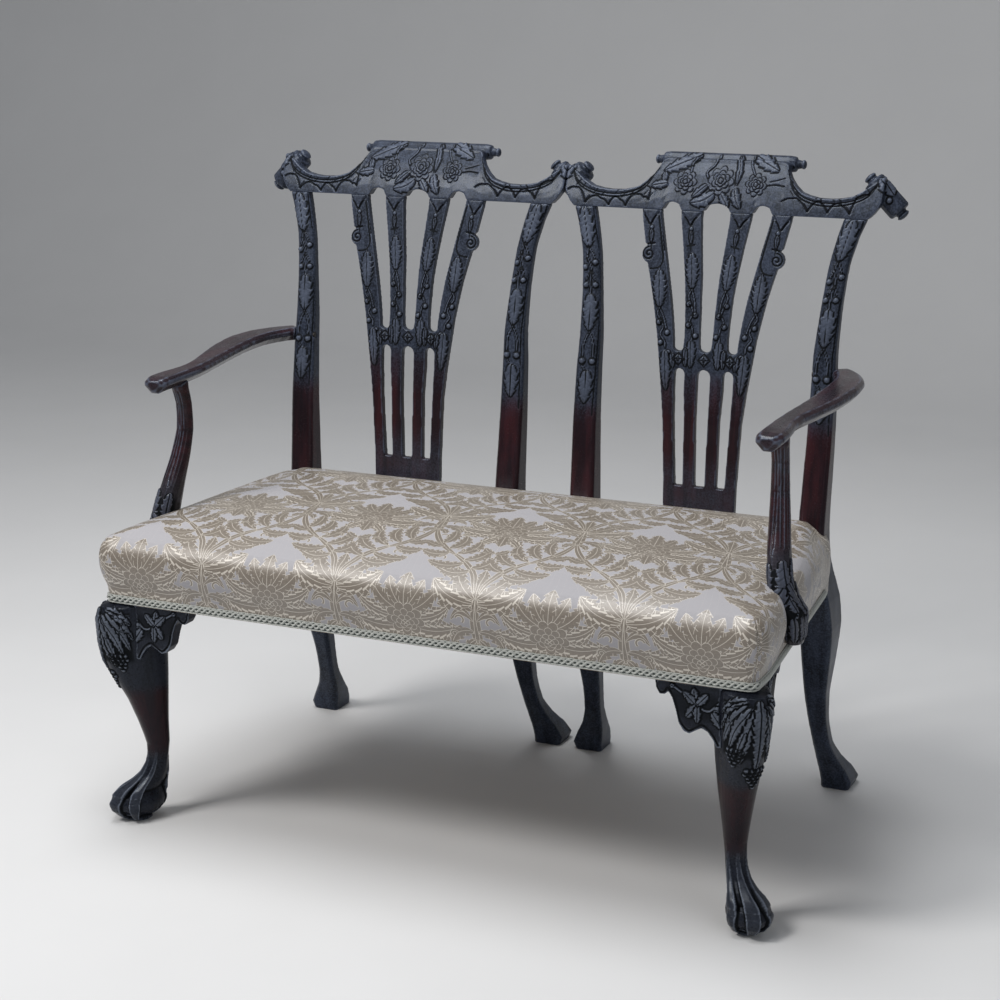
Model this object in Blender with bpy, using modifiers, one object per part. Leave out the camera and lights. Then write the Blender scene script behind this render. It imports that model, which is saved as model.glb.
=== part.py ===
# Double chair-back settee: two carved chair backs on one stuff-over seat, in metres, +Z up.
# X runs along the seat, -Y is the front. The front feet stand on the line y = 0 until the end,
# where everything is moved so that the origin lies under the middle of the whole piece.
import math

import bmesh
import bpy
from mathutils import Vector

# Fits and small clearances
fit_gap = 0.0003
cloth_gap = 0.0004
cutter_overrun = 0.006
weld_distance = 0.00001

# Main sizes of the frame
half_pitch = 0.2521
back_height = 0.4895
crest_height = 0.0825
rail_bottom_height = 0.361
rail_height = 0.067
rail_thickness = 0.028
front_spread = 0.2529
front_overhang = 0.0355
side_rail_lap = 0.008
leg_block = 0.050
block_corner_share = 0.862

# Rear posts, each one piece from foot to crest rail
post_reach = 0.2145
post_width = 0.040
post_depth = 0.042
post_front = 0.442
back_rake = 0.070
post_chamfer = 0.005

# Front legs
knee_reach = 0.050
claw_depth = 0.0040
claw_spread = 0.27

# Knee brackets
bracket_length = 0.089
side_bracket_length = 0.113
bracket_drop = 0.085
bracket_thickness = 0.024
bracket_setback = 0.002

# Splats and their shoes
splat_half_width = 0.118
splat_thickness = 0.012
splat_seat_front = 0.466
splat_rake = 0.0475
slot_floor_share = 0.147
slot_head_share = 0.521
bridge_top_share = 0.572
volute_share = 0.8652
volute_radius = 0.0135
volute_reach = 0.0990
shoe_half_width = 0.066
shoe_front = 0.4585
shoe_depth = 0.0235
shoe_height = 0.024
splat_housing = 0.012

# Crest rails
crest_half_length = 0.2500
crest_thickness = 0.020
arch_rise = 0.0125
crest_saddle = 0.0265
lip_proud = 0.002
tablet_half_width = 0.091
tablet_roll_radius = 0.0125
tablet_roll_setback = 0.012
tablet_roll_overhang = 0.020
ear_roll_radius = 0.0175
ear_roll_length = 0.064
ear_roll_reach = 0.2500
ear_roll_share = 0.37
ear_roll_setback = 0.031
roll_button = 0.009
dowel_radius = 0.004
dowel_length = 0.030
dowel_share = 0.39

# Rear rail
rear_rail_front = 0.446
rear_rail_depth = 0.036

# Inner members of the seat frame
brace_half_width = 0.022
brace_height = 0.034
corner_block_arm = 0.060
corner_block_height = 0.045

# Arms and arm supports
arm_length = 0.413
arm_housing = 0.017
arm_bow = 0.040
arm_width = 0.050
arm_thickness = 0.022
arm_rise = 0.272
arm_dip = 0.021
support_width = 0.026
support_depth = 0.065
support_foot_rise = 0.017
support_setback = 0.081
support_relief = 0.004
support_bow = 0.0362
support_splay = 0.0317

# Screws
screw_radius = 0.0025
screw_head_radius = 0.0045
screw_head_height = 0.003
arm_screw_length = 0.048
arm_screw_drop = 0.010
arm_screw_inset = 0.008
support_screw_length = 0.042
support_screw_rise = 0.032
support_screw_pitch = 0.022

# Seat stuffing and covering
web_width = 0.050
web_thickness = 0.0015
web_lap = 0.006
long_web_count = 4
cross_web_side_count = 4
hessian_thickness = 0.001
cover_thickness = 0.0015
cover_bulge = 0.0165
cover_rise = 0.1015
cover_crown = 0.0255
cover_corner_radius = 0.012
cover_shoulder = 0.030
cover_rear_turn = 0.010
cover_tuck_reach = 0.050
pad_ease = 0.0016
braid_height = 0.0125
braid_thickness = 0.0022

# Rear post, foot to top: height, outward place, width, rake and depth
post_shares = (
    (0.0000, 0.998, 1.150, 1.629, 1.238),
    (0.0131, 1.007, 1.250, 1.600, 1.333),
    (0.0371, 0.977, 1.100, 1.543, 1.143),
    (0.0610, 0.939, 0.850, 1.400, 0.857),
    (0.0926, 0.914, 0.675, 1.186, 0.690),
    (0.1417, 0.895, 0.725, 0.943, 0.690),
    (0.1962, 0.893, 0.875, 0.686, 0.810),
    (0.2616, 0.918, 1.125, 0.343, 1.143),
    (0.3270, 0.932, 1.300, 0.086, 1.571),
    (0.3760, 0.914, 1.250, -0.029, 1.762),
    (0.4196, 0.881, 1.075, -0.057, 1.571),
    (0.4523, 0.874, 1.025, -0.029, 1.190),
    (0.5068, 0.872, 1.000, 0.000, 1.000),
    (0.6431, 0.883, 0.950, 0.186, 0.810),
    (0.7411, 0.881, 0.900, 0.343, 0.690),
    (0.7847, 0.874, 0.850, 0.414, 0.643),
    (0.8610, 0.890, 0.750, 0.600, 0.571),
    (0.9264, 0.914, 0.725, 0.771, 0.524),
    (0.9700, 0.958, 0.775, 0.900, 0.500),
    (1.0000, 1.000, 0.850, 1.000, 0.500),
)

# Front leg below the rail, top to foot: height, outward edge, inward edge, half breadth, place aside, claws
leg_shares = (
    (0.985, 0.93, -0.75, 0.68, 0.05, 0.0),
    (0.930, 1.05, -0.86, 0.68, 0.04, 0.0),
    (0.831, 1.02, -0.98, 0.64, 0.04, 0.0),
    (0.748, 0.92, -1.04, 0.60, 0.04, 0.0),
    (0.665, 0.62, -1.03, 0.55, 0.09, 0.0),
    (0.554, 0.22, -1.02, 0.49, 0.18, 0.0),
    (0.443, -0.08, -1.00, 0.40, 0.26, 0.0),
    (0.338, -0.32, -1.02, 0.32, 0.33, 0.0),
    (0.277, -0.30, -0.98, 0.31, 0.33, 0.1),
    (0.249, -0.24, -0.96, 0.32, 0.32, 0.3),
    (0.205, -0.02, -0.92, 0.36, 0.32, 0.7),
    (0.180, 0.20, -0.86, 0.41, 0.32, 1.0),
    (0.150, 0.50, -0.80, 0.50, 0.34, 1.0),
    (0.118, 0.77, -0.80, 0.59, 0.37, 1.0),
    (0.083, 0.88, -0.80, 0.64, 0.39, 1.0),
    (0.050, 0.84, -0.76, 0.61, 0.39, 0.9),
    (0.022, 0.66, -0.60, 0.50, 0.39, 0.5),
    (0.000, 0.38, -0.33, 0.29, 0.39, 0.0),
)

# Knee bracket outline: place along the rail from the leg, and drop below the rail
bracket_shares = (
    (1.000, 0.000),
    (0.985, 0.130),
    (0.925, 0.235),
    (0.840, 0.225),
    (0.790, 0.165),
    (0.725, 0.270),
    (0.665, 0.460),
    (0.610, 0.680),
    (0.530, 0.800),
    (0.440, 0.830),
    (0.350, 0.770),
    (0.250, 0.710),
    (0.150, 0.760),
    (0.060, 0.880),
    (0.000, 1.000),
)

# Splat ribs: height up the back, outer rib's outer and inner edge, inner rib's outer and inner edge
rib_shares = (
    (0.617, 0.665, 0.447, 0.288, 0.095),
    (0.673, 0.708, 0.476, 0.297, 0.100),
    (0.740, 0.763, 0.521, 0.314, 0.113),
    (0.801, 0.826, 0.574, 0.342, 0.123),
    (0.899, 0.920, 0.661, 0.403, 0.165),
    (0.981, 0.992, 0.737, 0.462, 0.195),
    (1.000, 1.000, 0.745, 0.470, 0.190),
)
# Splat below the bridge: height up the back, outer edge, outer slot's far and near edge, middle slot's edge
lower_rib_shares = (
    (0.147, 0.495, 0.351, 0.229, 0.073),
    (0.351, 0.531, 0.390, 0.234, 0.090),
    (0.454, 0.576, 0.404, 0.259, 0.093),
)
splat_foot_share = 0.487

# Rake of the chair back along its height
rake_shares = ((0.065, 0.0), (0.351, 0.06), (0.556, 0.21), (0.740, 0.46), (0.862, 0.69), (0.964, 0.905), (1.0, 1.0))
crest_rake_shares = ((0.0, 0.0), (0.15, 0.082), (0.33, 0.220), (0.55, 0.431), (0.76, 0.729), (0.92, 1.0))
crest_run = 0.0435

# Upper edge of the crest rail: place along it from its middle, and height above the joint
crest_top_shares = (
    (0.000, 0.900),
    (0.355, 0.900),
    (0.378, 0.890),
    (0.396, 0.855),
    (0.412, 0.733),
    (0.432, 0.636),
    (0.468, 0.515),
    (0.512, 0.406),
    (0.560, 0.358),
    (0.620, 0.321),
    (0.700, 0.315),
    (0.760, 0.333),
    (0.820, 0.370),
    (0.880, 0.467),
    (0.940, 0.600),
    (1.000, 0.697),
)
# Outer end of its lower edge, where the ear rises from the post
crest_ear_shares = ((0.930, 0.0), (0.960, 0.09), (0.985, 0.20), (1.000, 0.30))

# Arm seen from above, front to post: place along it, bow outwards, dip below the rear, width
arm_shares = (
    (0.000, 0.46, 1.00, 0.50),
    (0.012, 0.47, 0.86, 0.70),
    (0.040, 0.48, 0.76, 0.81),
    (0.090, 0.48, 0.72, 0.82),
    (0.150, 0.45, 0.69, 0.76),
    (0.215, 0.39, 0.66, 0.67),
    (0.310, 0.44, 0.57, 0.67),
    (0.430, 0.66, 0.43, 0.79),
    (0.560, 0.88, 0.26, 0.93),
    (0.700, 1.00, 0.08, 1.00),
    (0.830, 0.93, 0.00, 0.93),
    (0.915, 0.68, 0.00, 0.82),
    (0.968, 0.36, 0.00, 0.73),
    (1.000, 0.10, 0.00, 0.68),
)

# Arm support, foot to arm: height, outward place, place along the seat, width, depth
support_shares = (
    (0.000, 1.000, -0.200, 0.88, 0.50),
    (0.050, 1.000, -0.420, 0.98, 0.78),
    (0.175, 0.900, -0.860, 1.12, 0.97),
    (0.245, 0.700, -1.020, 1.20, 1.00),
    (0.345, 0.480, -0.960, 1.27, 0.86),
    (0.450, 0.310, -0.740, 1.27, 0.68),
    (0.585, 0.150, -0.300, 1.17, 0.48),
    (0.720, 0.020, -0.010, 1.03, 0.36),
    (0.857, 0.000, -0.044, 0.95, 0.36),
    (0.940, 0.022, -0.280, 1.00, 0.42),
    (1.000, 0.022, -0.300, 1.00, 0.42),
)

# Section of the seat's edge, braid to crown: bulge outwards at the front, bulge at the rear posts, rise
edge_shares = (
    (0.000, 0.00, 0.000),
    (0.000, 0.00, 0.158),
    (0.550, 0.09, 0.315),
    (0.970, 0.09, 0.520),
    (1.000, 0.00, 0.720),
    (0.667, -0.60, 0.887),
    (0.000, -1.80, 0.990),
)
# How far the front's section holds along the sides, from the front leg back to the post
side_bulge_shares = ((0.0, 1.0), (0.50, 1.0), (0.66, 0.85), (0.82, 0.42), (0.94, 0.08), (1.0, 0.0))
# How the cover draws in round the arm support, by distance from it
tuck_shares = ((0.0, 0.85), (0.4, 0.80), (0.75, 0.35), (1.0, 0.0))
# Top of the seat: inset from the edge as a share of the shoulder, and crown
shoulder_shares = ((0.45, 0.22), (0.95, 0.40))
# Inner rings of the top: scale of the last shoulder ring, and crown
crown_shares = ((0.72, 0.72), (0.42, 0.92), (0.12, 1.0))

# Turned profile of a roll: distance along its half length and radius
roll_shares = ((0.0, 1.0), (0.86, 1.0), (0.94, 0.90), (0.96, 0.55), (1.0, 0.50))
button_shares = ((0.25, 0.42), (0.55, 0.60), (0.85, 0.45), (1.0, 0.15))

section_sides = 12
leg_sides = 30
roll_sides = 12
screw_sides = 10

# Values that follow from the sizes above
rail_top_height = rail_bottom_height + rail_height
crest_joint_height = rail_top_height + back_height
crest_top_height = crest_joint_height + crest_height
front_half_width = half_pitch + front_spread
arm_height = rail_top_height + arm_rise
support_bottom = rail_bottom_height + support_foot_rise
rail_inner_line = rail_thickness - front_overhang
block_centre = Vector((front_half_width - leg_block / 2, leg_block / 2 - front_overhang, 0))
seat_rear_half_width = half_pitch + post_reach * post_shares[12][1] + post_width / 2 + side_rail_lap


def clear_scene():
    for found in list(bpy.data.objects):
        bpy.data.objects.remove(found, do_unlink=True)


def new_collection(name):
    made = bpy.data.collections.new(name)
    bpy.context.scene.collection.children.link(made)
    return made


def new_material(name, colour, roughness):
    made = bpy.data.materials.new(name)
    made.use_nodes = True
    shader = made.node_tree.nodes["Principled BSDF"]
    shader.inputs["Base Color"].default_value = (*colour, 1)
    shader.inputs["Roughness"].default_value = roughness
    shader.inputs["Metallic"].default_value = 0
    return made


def new_object(name, mesh, material):
    made = bpy.data.objects.new(name, mesh)
    if material:
        mesh.materials.clear()
        mesh.materials.append(material)
        parts.objects.link(made)
        mesh.shade_smooth()
        mesh.set_sharp_from_angle(angle=math.radians(35))
    else:
        cutters.objects.link(made)
        made.hide_render = True
        made.display_type = "WIRE"
    made.parent = settee
    return made


def finished(name, shape, material):
    bmesh.ops.recalc_face_normals(shape, faces=shape.faces)
    mesh = bpy.data.meshes.new(name)
    shape.to_mesh(mesh)
    shape.free()
    return new_object(name, mesh, material)


def loft(name, rings, material, fan=False):
    """A closed solid through rings of equal count, with a flat cap at each end, the last as a fan if asked."""
    shape = bmesh.new()
    rows = [[shape.verts.new(point) for point in ring] for ring in rings]
    for low, high in zip(rows, rows[1:]):
        for i in range(len(low)):
            j = (i + 1) % len(low)
            shape.faces.new((low[i], low[j], high[j], high[i]))
    bmesh.ops.triangulate(shape, faces=shape.faces, quad_method="FIXED")
    shape.faces.new(rows[0])
    cap = shape.faces.new(rows[-1])
    if fan:
        bmesh.ops.poke(shape, faces=[cap])
    return finished(name, shape, material)


def outline_mesh(loops, thickness):
    """The plate inside the first loop, less the others, half its thickness to each side."""
    curve = bpy.data.curves.new("outline", "CURVE")
    curve.dimensions = "2D"
    curve.fill_mode = "BOTH"
    curve.extrude = thickness / 2
    for loop in loops:
        spline = curve.splines.new("POLY")
        spline.points.add(len(loop) - 1)
        for point, (across, along) in zip(spline.points, loop):
            point.co = (across, along, 0, 1)
        spline.use_cyclic_u = True
    holder = bpy.data.objects.new("outline", curve)
    bpy.context.scene.collection.objects.link(holder)
    graph = bpy.context.evaluated_depsgraph_get()
    mesh = bpy.data.meshes.new_from_object(holder.evaluated_get(graph))
    bpy.data.objects.remove(holder)
    bpy.data.curves.remove(curve)
    return mesh


def plate(name, loops, thickness, place, material):
    """A plate whose points are carried to their seat by the function place."""
    mesh = outline_mesh(loops, thickness)
    shape = bmesh.new()
    shape.from_mesh(mesh)
    bpy.data.meshes.remove(mesh)
    bmesh.ops.remove_doubles(shape, verts=shape.verts, dist=weld_distance)
    for vertex in shape.verts:
        vertex.co = place(vertex.co)
    return finished(name, shape, material)


def box(name, low, high, material):
    shape = bmesh.new()
    bmesh.ops.create_cube(shape, size=1)
    low, high = Vector(low), Vector(high)
    bmesh.ops.scale(shape, vec=high - low, verts=shape.verts)
    made = finished(name, shape, material)
    made.location = (low + high) / 2
    return made


def rod(name, start, end, profile, sides, material):
    """A turned piece between two points: profile holds distances from the start and radii."""
    shape = bmesh.new()
    spots = [(profile[-1][0], 0)] + list(reversed(profile)) + [(profile[0][0], 0)]
    points = [shape.verts.new((radius, 0, distance)) for distance, radius in spots]
    for upper, lower in zip(points, points[1:]):
        shape.edges.new((upper, lower))
    mesh = bpy.data.meshes.new(name)
    shape.to_mesh(mesh)
    shape.free()
    made = new_object(name, mesh, material)
    turn = made.modifiers.new("turn", "SCREW")
    turn.steps = sides
    turn.render_steps = sides
    turn.use_merge_vertices = True
    turn.merge_threshold = weld_distance
    turn.use_smooth_shade = True
    made.location = start
    made.rotation_euler = (Vector(end) - Vector(start)).to_track_quat("Z", "Y").to_euler()
    return made


def boolean(target, other, operation):
    modifier = target.modifiers.new(operation.lower() + " " + other.name, "BOOLEAN")
    modifier.operation = operation
    modifier.object = other
    modifier.solver = "EXACT"


def cut(target, *others):
    for other in others:
        boolean(target, other, "DIFFERENCE")


def at(table, place):
    """The row of a table of shares at a place, by straight runs between its rows."""
    if place <= table[0][0]:
        return table[0]
    for first, second in zip(table, table[1:]):
        if place <= second[0]:
            part = (place - first[0]) / (second[0] - first[0])
            return tuple(a + (b - a) * part for a, b in zip(first, second))
    return table[-1]


def rounded(points, chamfer):
    """Each corner of a section made into two points, so that the section has eight."""
    made = []
    for i, point in enumerate(points):
        before = (points[i - 1] - point).normalized()
        after = (points[(i + 1) % len(points)] - point).normalized()
        made.append(point + before * chamfer)
        made.append(point + after * chamfer)
    return made


def post_box(height):
    """Place, width, front and depth of a rear post at a height, from its own chair back's middle."""
    _, reach, width, rake, depth = at(post_shares, height / crest_joint_height)
    return (
        post_reach * reach,
        post_width * width,
        post_front + back_rake * rake,
        post_depth * depth,
    )


def rear_post(name, centre, side, grow, material):
    """One post, or with grow the room that its neighbours leave it."""
    rings = []
    for share, *_ in post_shares:
        height = (crest_joint_height - fit_gap) * share
        reach, width, front, depth = post_box(height)
        middle = centre + side * reach
        half = width / 2 + grow
        corners = [
            Vector((middle - half, front - grow, height)),
            Vector((middle + half, front - grow, height)),
            Vector((middle + half, front + depth + grow, height)),
            Vector((middle - half, front + depth + grow, height)),
        ]
        rings.append(rounded(corners, post_chamfer))
    return loft(name, rings, material)


def leg_ring(height, shares, power, side, grow):
    """One section of a front leg, drawn on the diagonal that runs out through the corner."""
    outward, inward, breadth, aside, claw = shares
    middle = (outward + inward) / 2
    half = (outward - inward) / 2 + grow
    across = breadth + grow
    ring = []
    for i in range(leg_sides):
        turn = math.tau * i / leg_sides
        reach = (abs(math.cos(turn)) ** power + abs(math.sin(turn)) ** power) ** (-1 / power)
        for talon in (0, math.tau / 5, math.tau / 2, math.tau * 4 / 5):
            away = (turn - talon + math.pi) % math.tau - math.pi
            reach += claw * claw_depth / half * math.exp(-((away / claw_spread) ** 2))
        out = middle + half * reach * math.cos(turn)
        along = aside + across * reach * math.sin(turn)
        x = block_centre.x + (out + along) / math.sqrt(2)
        y = block_centre.y - (out - along) / math.sqrt(2)
        ring.append(Vector((side * x, y, height)))
    return ring


def front_leg(name, side, grow, material):
    corner = leg_block / 2 / block_corner_share
    block_shape = (corner, -corner, corner, 0, 0)
    rings = [leg_ring(height, block_shape, 1.4, side, grow) for height in (rail_top_height, rail_bottom_height)]
    for share, outward, inward, breadth, aside, claw in leg_shares:
        shape = (knee_reach * outward, knee_reach * inward, knee_reach * breadth, knee_reach * aside, claw)
        power = 1.6 if share == leg_shares[0][0] else 2
        rings.append(leg_ring(rail_bottom_height * share, shape, power, side, grow))
    return loft(name, rings, material)


def knee_bracket(name, side, along_seat, leg_room, material):
    """A bracket under a rail, beside the leg: under the front rail, or under a side rail."""
    length = bracket_length if along_seat else side_bracket_length
    loop = [(length * along, -bracket_drop * drop) for along, drop in bracket_shares]
    loop += [(-cutter_overrun, -bracket_drop), (-cutter_overrun, 0)]
    top = rail_bottom_height - fit_gap
    inset = bracket_setback + bracket_thickness / 2
    slope = side_rail_slope()

    def place(point):
        if along_seat:
            x = front_half_width - leg_block - point.x
            y = inset - front_overhang + point.z
        else:
            y = leg_block - front_overhang + point.x
            x = side_rail_line(y) - inset * math.sqrt(1 + slope * slope) - point.z
        return Vector((side * x, y, top + point.y))

    made = plate(name, [loop], bracket_thickness, place, material)
    cut(made, leg_room)
    return made


def side_rail_slope():
    return (front_half_width - seat_rear_half_width) / (post_front + front_overhang - leg_block)


def side_rail_line(y):
    """Outer face of the side rail, which draws in from the front leg towards the back."""
    return front_half_width - side_rail_slope() * max(y + front_overhang - leg_block, 0)


def side_rail(name, side, rooms, material):
    start = leg_block - front_overhang + fit_gap
    end = post_front + cutter_overrun
    rings = []
    for y in (start, end):
        outer = side_rail_line(y)
        rings.append(
            [
                Vector((side * outer, y, rail_bottom_height)),
                Vector((side * outer, y, rail_top_height)),
                Vector((side * (outer - rail_thickness), y, rail_top_height)),
                Vector((side * (outer - rail_thickness), y, rail_bottom_height)),
            ]
        )
    made = loft(name, rings, material)
    cut(made, *rooms)
    return made


def rear_rail(name, left, right, rooms, material):
    made = box(
        name,
        (left - cutter_overrun, rear_rail_front, rail_bottom_height),
        (right + cutter_overrun, rear_rail_front + rear_rail_depth, rail_top_height),
        material,
    )
    cut(made, *rooms)
    return made


def back_front(height):
    """Front face of a chair back at a height."""
    return splat_seat_front + splat_rake * at(rake_shares, (height - rail_top_height) / back_height)[1]


def crest_front(height):
    """Front face of a crest rail, which leans back more and more above the joint."""
    rise = (height - crest_joint_height) / crest_height
    return back_front(crest_joint_height) + crest_run * at(crest_rake_shares, rise)[1]


def arc(centre, radius, start, end, count):
    points = []
    for i in range(count + 1):
        turn = math.radians(start + (end - start) * i / count)
        points.append((centre[0] + radius * math.cos(turn), centre[1] + radius * math.sin(turn)))
    return points


def splat_loops():
    """Outline of a splat and its three lower slots, about its own middle."""

    def sized(row):
        return (rail_top_height + back_height * row[0], *(splat_half_width * share for share in row[1:]))

    rows = [sized(row) for row in rib_shares]
    rows[-1] = (crest_joint_height - fit_gap, *rows[-1][1:])
    low = [sized(row) for row in lower_rib_shares]
    low[0] = (rail_top_height + back_height * slot_floor_share, *low[0][1:])
    volute_rise = rail_top_height + back_height * volute_share
    bridge_top_height = rail_top_height + back_height * bridge_top_share
    slot_head_height = rail_top_height + back_height * slot_head_share
    foot = splat_half_width * splat_foot_share
    foot_height = rail_top_height + fit_gap + shoe_height - splat_housing
    half = [(foot, foot_height)]
    half += [(row[1], row[0]) for row in low]
    half += [(row[1], row[0]) for row in rows if row[0] < volute_rise - volute_radius]
    half += arc((volute_reach, volute_rise), volute_radius, -75, 70, 7)
    half += [(row[1], row[0]) for row in rows if row[0] > volute_rise + volute_radius]
    half += [(row[2], row[0]) for row in reversed(rows)]
    slot_middle = (rows[0][2] + rows[0][3]) / 2
    slot_half = (rows[0][2] - rows[0][3]) / 2
    half += arc((slot_middle, bridge_top_height + slot_half), slot_half, 0, -180, 6)[1:-1]
    half += [(row[3], row[0]) for row in rows]
    half += [(row[4], row[0]) for row in reversed(rows)]
    middle_half = rows[0][4]
    half += arc((0, bridge_top_height + middle_half), middle_half, 0, -90, 3)[1:]
    outline = half + [(-x, z) for x, z in reversed(half[:-1])]
    outer_slot = [(row[2], row[0]) for row in low]
    far, near = low[-1][2], low[-1][3]
    outer_slot += arc(((far + near) / 2, slot_head_height - (far - near) / 2), (far - near) / 2, 0, 180, 6)
    outer_slot += [(row[3], row[0]) for row in reversed(low)]
    edge = low[-1][4]
    middle_slot = [(row[4], row[0]) for row in low]
    middle_slot += arc((0, slot_head_height - edge), edge, 0, 180, 6)
    middle_slot += [(-row[4], row[0]) for row in reversed(low)]
    return [outline, outer_slot, [(-x, z) for x, z in outer_slot], middle_slot]


def splat(name, centre, grow, material):
    """A pierced splat, bent to the rake of the back. With grow, the room for its foot."""
    if grow:
        foot = splat_half_width * splat_foot_share + grow
        top = rail_top_height + fit_gap + shoe_height
        base, over = top - splat_housing - grow, top + splat_housing
        loops = [[(foot, base), (foot, over), (-foot, over), (-foot, base)]]
    else:
        loops = splat_loops()

    def place(point):
        return Vector((centre + point.x, back_front(point.y) + splat_thickness / 2 + point.z, point.y))

    return plate(name, loops, splat_thickness + 2 * grow, place, material)


def splat_shoe(name, centre, room, material):
    bottom = rail_top_height + fit_gap
    rings = []
    for x in (centre - shoe_half_width, centre + shoe_half_width):
        front, rear, top = shoe_front, shoe_front + shoe_depth, bottom + shoe_height
        cove = shoe_height / 3
        rings.append(
            [
                Vector((x, front, bottom)),
                Vector((x, front, bottom + cove)),
                Vector((x, front + cove / 2, top - cove / 2)),
                Vector((x, front + cove / 2, top)),
                Vector((x, rear, top)),
                Vector((x, rear, bottom)),
            ]
        )
    made = loft(name, rings, material)
    cut(made, room)
    return made


def crest_low(along):
    """Lower edge of a crest rail: arches between the ribs, and the rise to the ear."""
    top_row = rib_shares[-1]
    edges = [splat_half_width * share for share in top_row[1:]]
    span = abs(along)
    rise = at(crest_ear_shares, span / crest_half_length)[1] * crest_height
    for inner, outer in ((-edges[3], edges[3]), (edges[2], edges[1])):
        if inner < span < outer:
            place = (span - (inner + outer) / 2) / ((outer - inner) / 2)
            rise = arch_rise * math.sqrt(1 - place * place)
    return crest_joint_height + rise


def crest_stations():
    """Places along a crest rail where its section is drawn, closer where an edge turns."""
    edges = [splat_half_width * share for share in rib_shares[-1][1:]]
    half = []
    for outer, inner, count in ((edges[3], 0, 4), (edges[1], edges[2], 6)):
        for i in range(count + 1):
            half.append(inner + (outer - inner) * i / count)
    half += [crest_half_length * share for share, _ in crest_top_shares]
    half += [crest_half_length * share for share, _ in crest_ear_shares]
    half += [edges[0], edges[0] + (edges[1] - edges[0]) / 2]
    made = []
    for place in sorted(half):
        if not made or place - made[-1] > lip_proud / 2:
            made.append(place)
    return [-place for place in reversed(made[1:])] + made


def crest_ring(centre, along):
    low = crest_low(along)
    high = crest_joint_height + crest_height * at(crest_top_shares, abs(along) / crest_half_length)[1]
    lip = high - lip_proud * 2
    front = [(crest_front(low), low)]
    for part in (1 / 4, 1 / 2, 3 / 4):
        height = low + (lip - low) * part
        front.append((crest_front(height), height))
    front.append((crest_front(lip), lip))
    front.append((crest_front(high) - lip_proud, high))
    rear = [(crest_front(high) + crest_thickness * 0.7, high)]
    for part in (2 / 3, 1 / 3):
        height = low + (high - low) * part
        rear.append((crest_front(height) + crest_thickness, height))
    rear.append((crest_front(low) + crest_thickness, low))
    return [Vector((centre + along, y, z)) for y, z in front + rear]


def roll_profile(length, radius):
    """A roll with a button at each end, as distances from the first button and radii."""
    half = length / 2
    right = [(half * along, radius * size) for along, size in roll_shares[1:]]
    right += [(half + roll_button * along, radius * size) for along, size in button_shares]
    left = [(-along, size) for along, size in reversed(right)]
    return [(along + half + roll_button, size) for along, size in left + right]


def roll(name, middle, direction, length, radius, material):
    profile = roll_profile(length, radius)
    start = middle - direction * (length / 2 + roll_button)
    return rod(name, start, start + direction, profile, roll_sides, material)


def crest_rail(name, centre, material):
    """The carved top rail: its body, the tablet's roll and the two rolled ears, worked as one."""
    made = loft(name, [crest_ring(centre, along) for along in crest_stations()], material)
    top = Vector((centre, 0, crest_top_height - tablet_roll_radius))
    top.y = crest_front(top.z) + tablet_roll_setback + tablet_roll_radius
    length = 2 * (tablet_half_width + tablet_roll_overhang)
    boolean(made, roll(name + "_tablet_roll", top, Vector((1, 0, 0)), length, tablet_roll_radius, None), "UNION")
    for side in (-1, 1):
        height = crest_joint_height + crest_height * ear_roll_share
        middle = Vector((centre + side * ear_roll_reach, crest_front(height) + ear_roll_setback, height))
        slant = Vector((side, 0, -1)).normalized()
        label = name + ("_left_ear" if side < 0 else "_right_ear")
        boolean(made, roll(label, middle, slant, ear_roll_length, ear_roll_radius, None), "UNION")
    beyond = half_pitch + crest_half_length
    edge = fit_gap / 2 if centre > 0 else -fit_gap / 2
    far = -beyond if centre > 0 else beyond
    room = box(
        name + "_meeting_face",
        (min(edge, far), 0, rail_top_height),
        (max(edge, far), beyond + crest_half_length, crest_top_height + beyond),
        None,
    )
    cut(made, room)
    return made


def arm_seat():
    """Outer face of the post at the arm, and the place where the arm's front end lies."""
    reach, width, front, depth = post_box(arm_height - arm_thickness / 2)
    return half_pitch + reach + width / 2, front + arm_housing - arm_length


def arm_rows():
    outer, start = arm_seat()
    for along, bow, dip, width in arm_shares:
        yield start + arm_length * along, outer + arm_bow * bow, arm_height - arm_dip * dip, arm_width * width


def arm(name, side, grow, material):
    """An arm with a flat top, bowed outwards, whose front end swells into a rounded knuckle."""
    rows = list(arm_rows())
    rings = []
    for i, (y, x, top, width) in enumerate(rows):
        before, after = rows[max(i - 1, 0)], rows[min(i + 1, len(rows) - 1)]
        run = Vector((after[1] - before[1], after[0] - before[0], 0)).normalized()
        across = Vector((run.y, -run.x, 0))
        half = width / 2 + grow
        deep = (arm_thickness if i else arm_thickness * 0.7) + 2 * grow
        crown = top + grow
        ease = arm_thickness / 4
        section = (
            (-half + ease, 0),
            (-half, ease),
            (-half, deep - 2 * ease),
            (-half + 2 * ease, deep),
            (half - 2 * ease, deep),
            (half, deep - 2 * ease),
            (half, ease),
            (half - ease, 0),
        )
        ring = []
        for sideways, down in section:
            point = Vector((x, y, crown)) + across * sideways
            ring.append(Vector((side * point.x, point.y, crown - down)))
        rings.append(ring)
    return loft(name, rings, material)


def support_line():
    """Place along the seat of the arm support's foot, which stands back from the arm's front end."""
    return arm_seat()[1] + support_setback


def support_rise():
    """Height of an arm support, whose top is housed half way into the arm."""
    dip = at(arm_shares, support_setback / arm_length)[2]
    return arm_height - arm_dip * dip - arm_thickness / 2 - support_bottom


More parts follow.
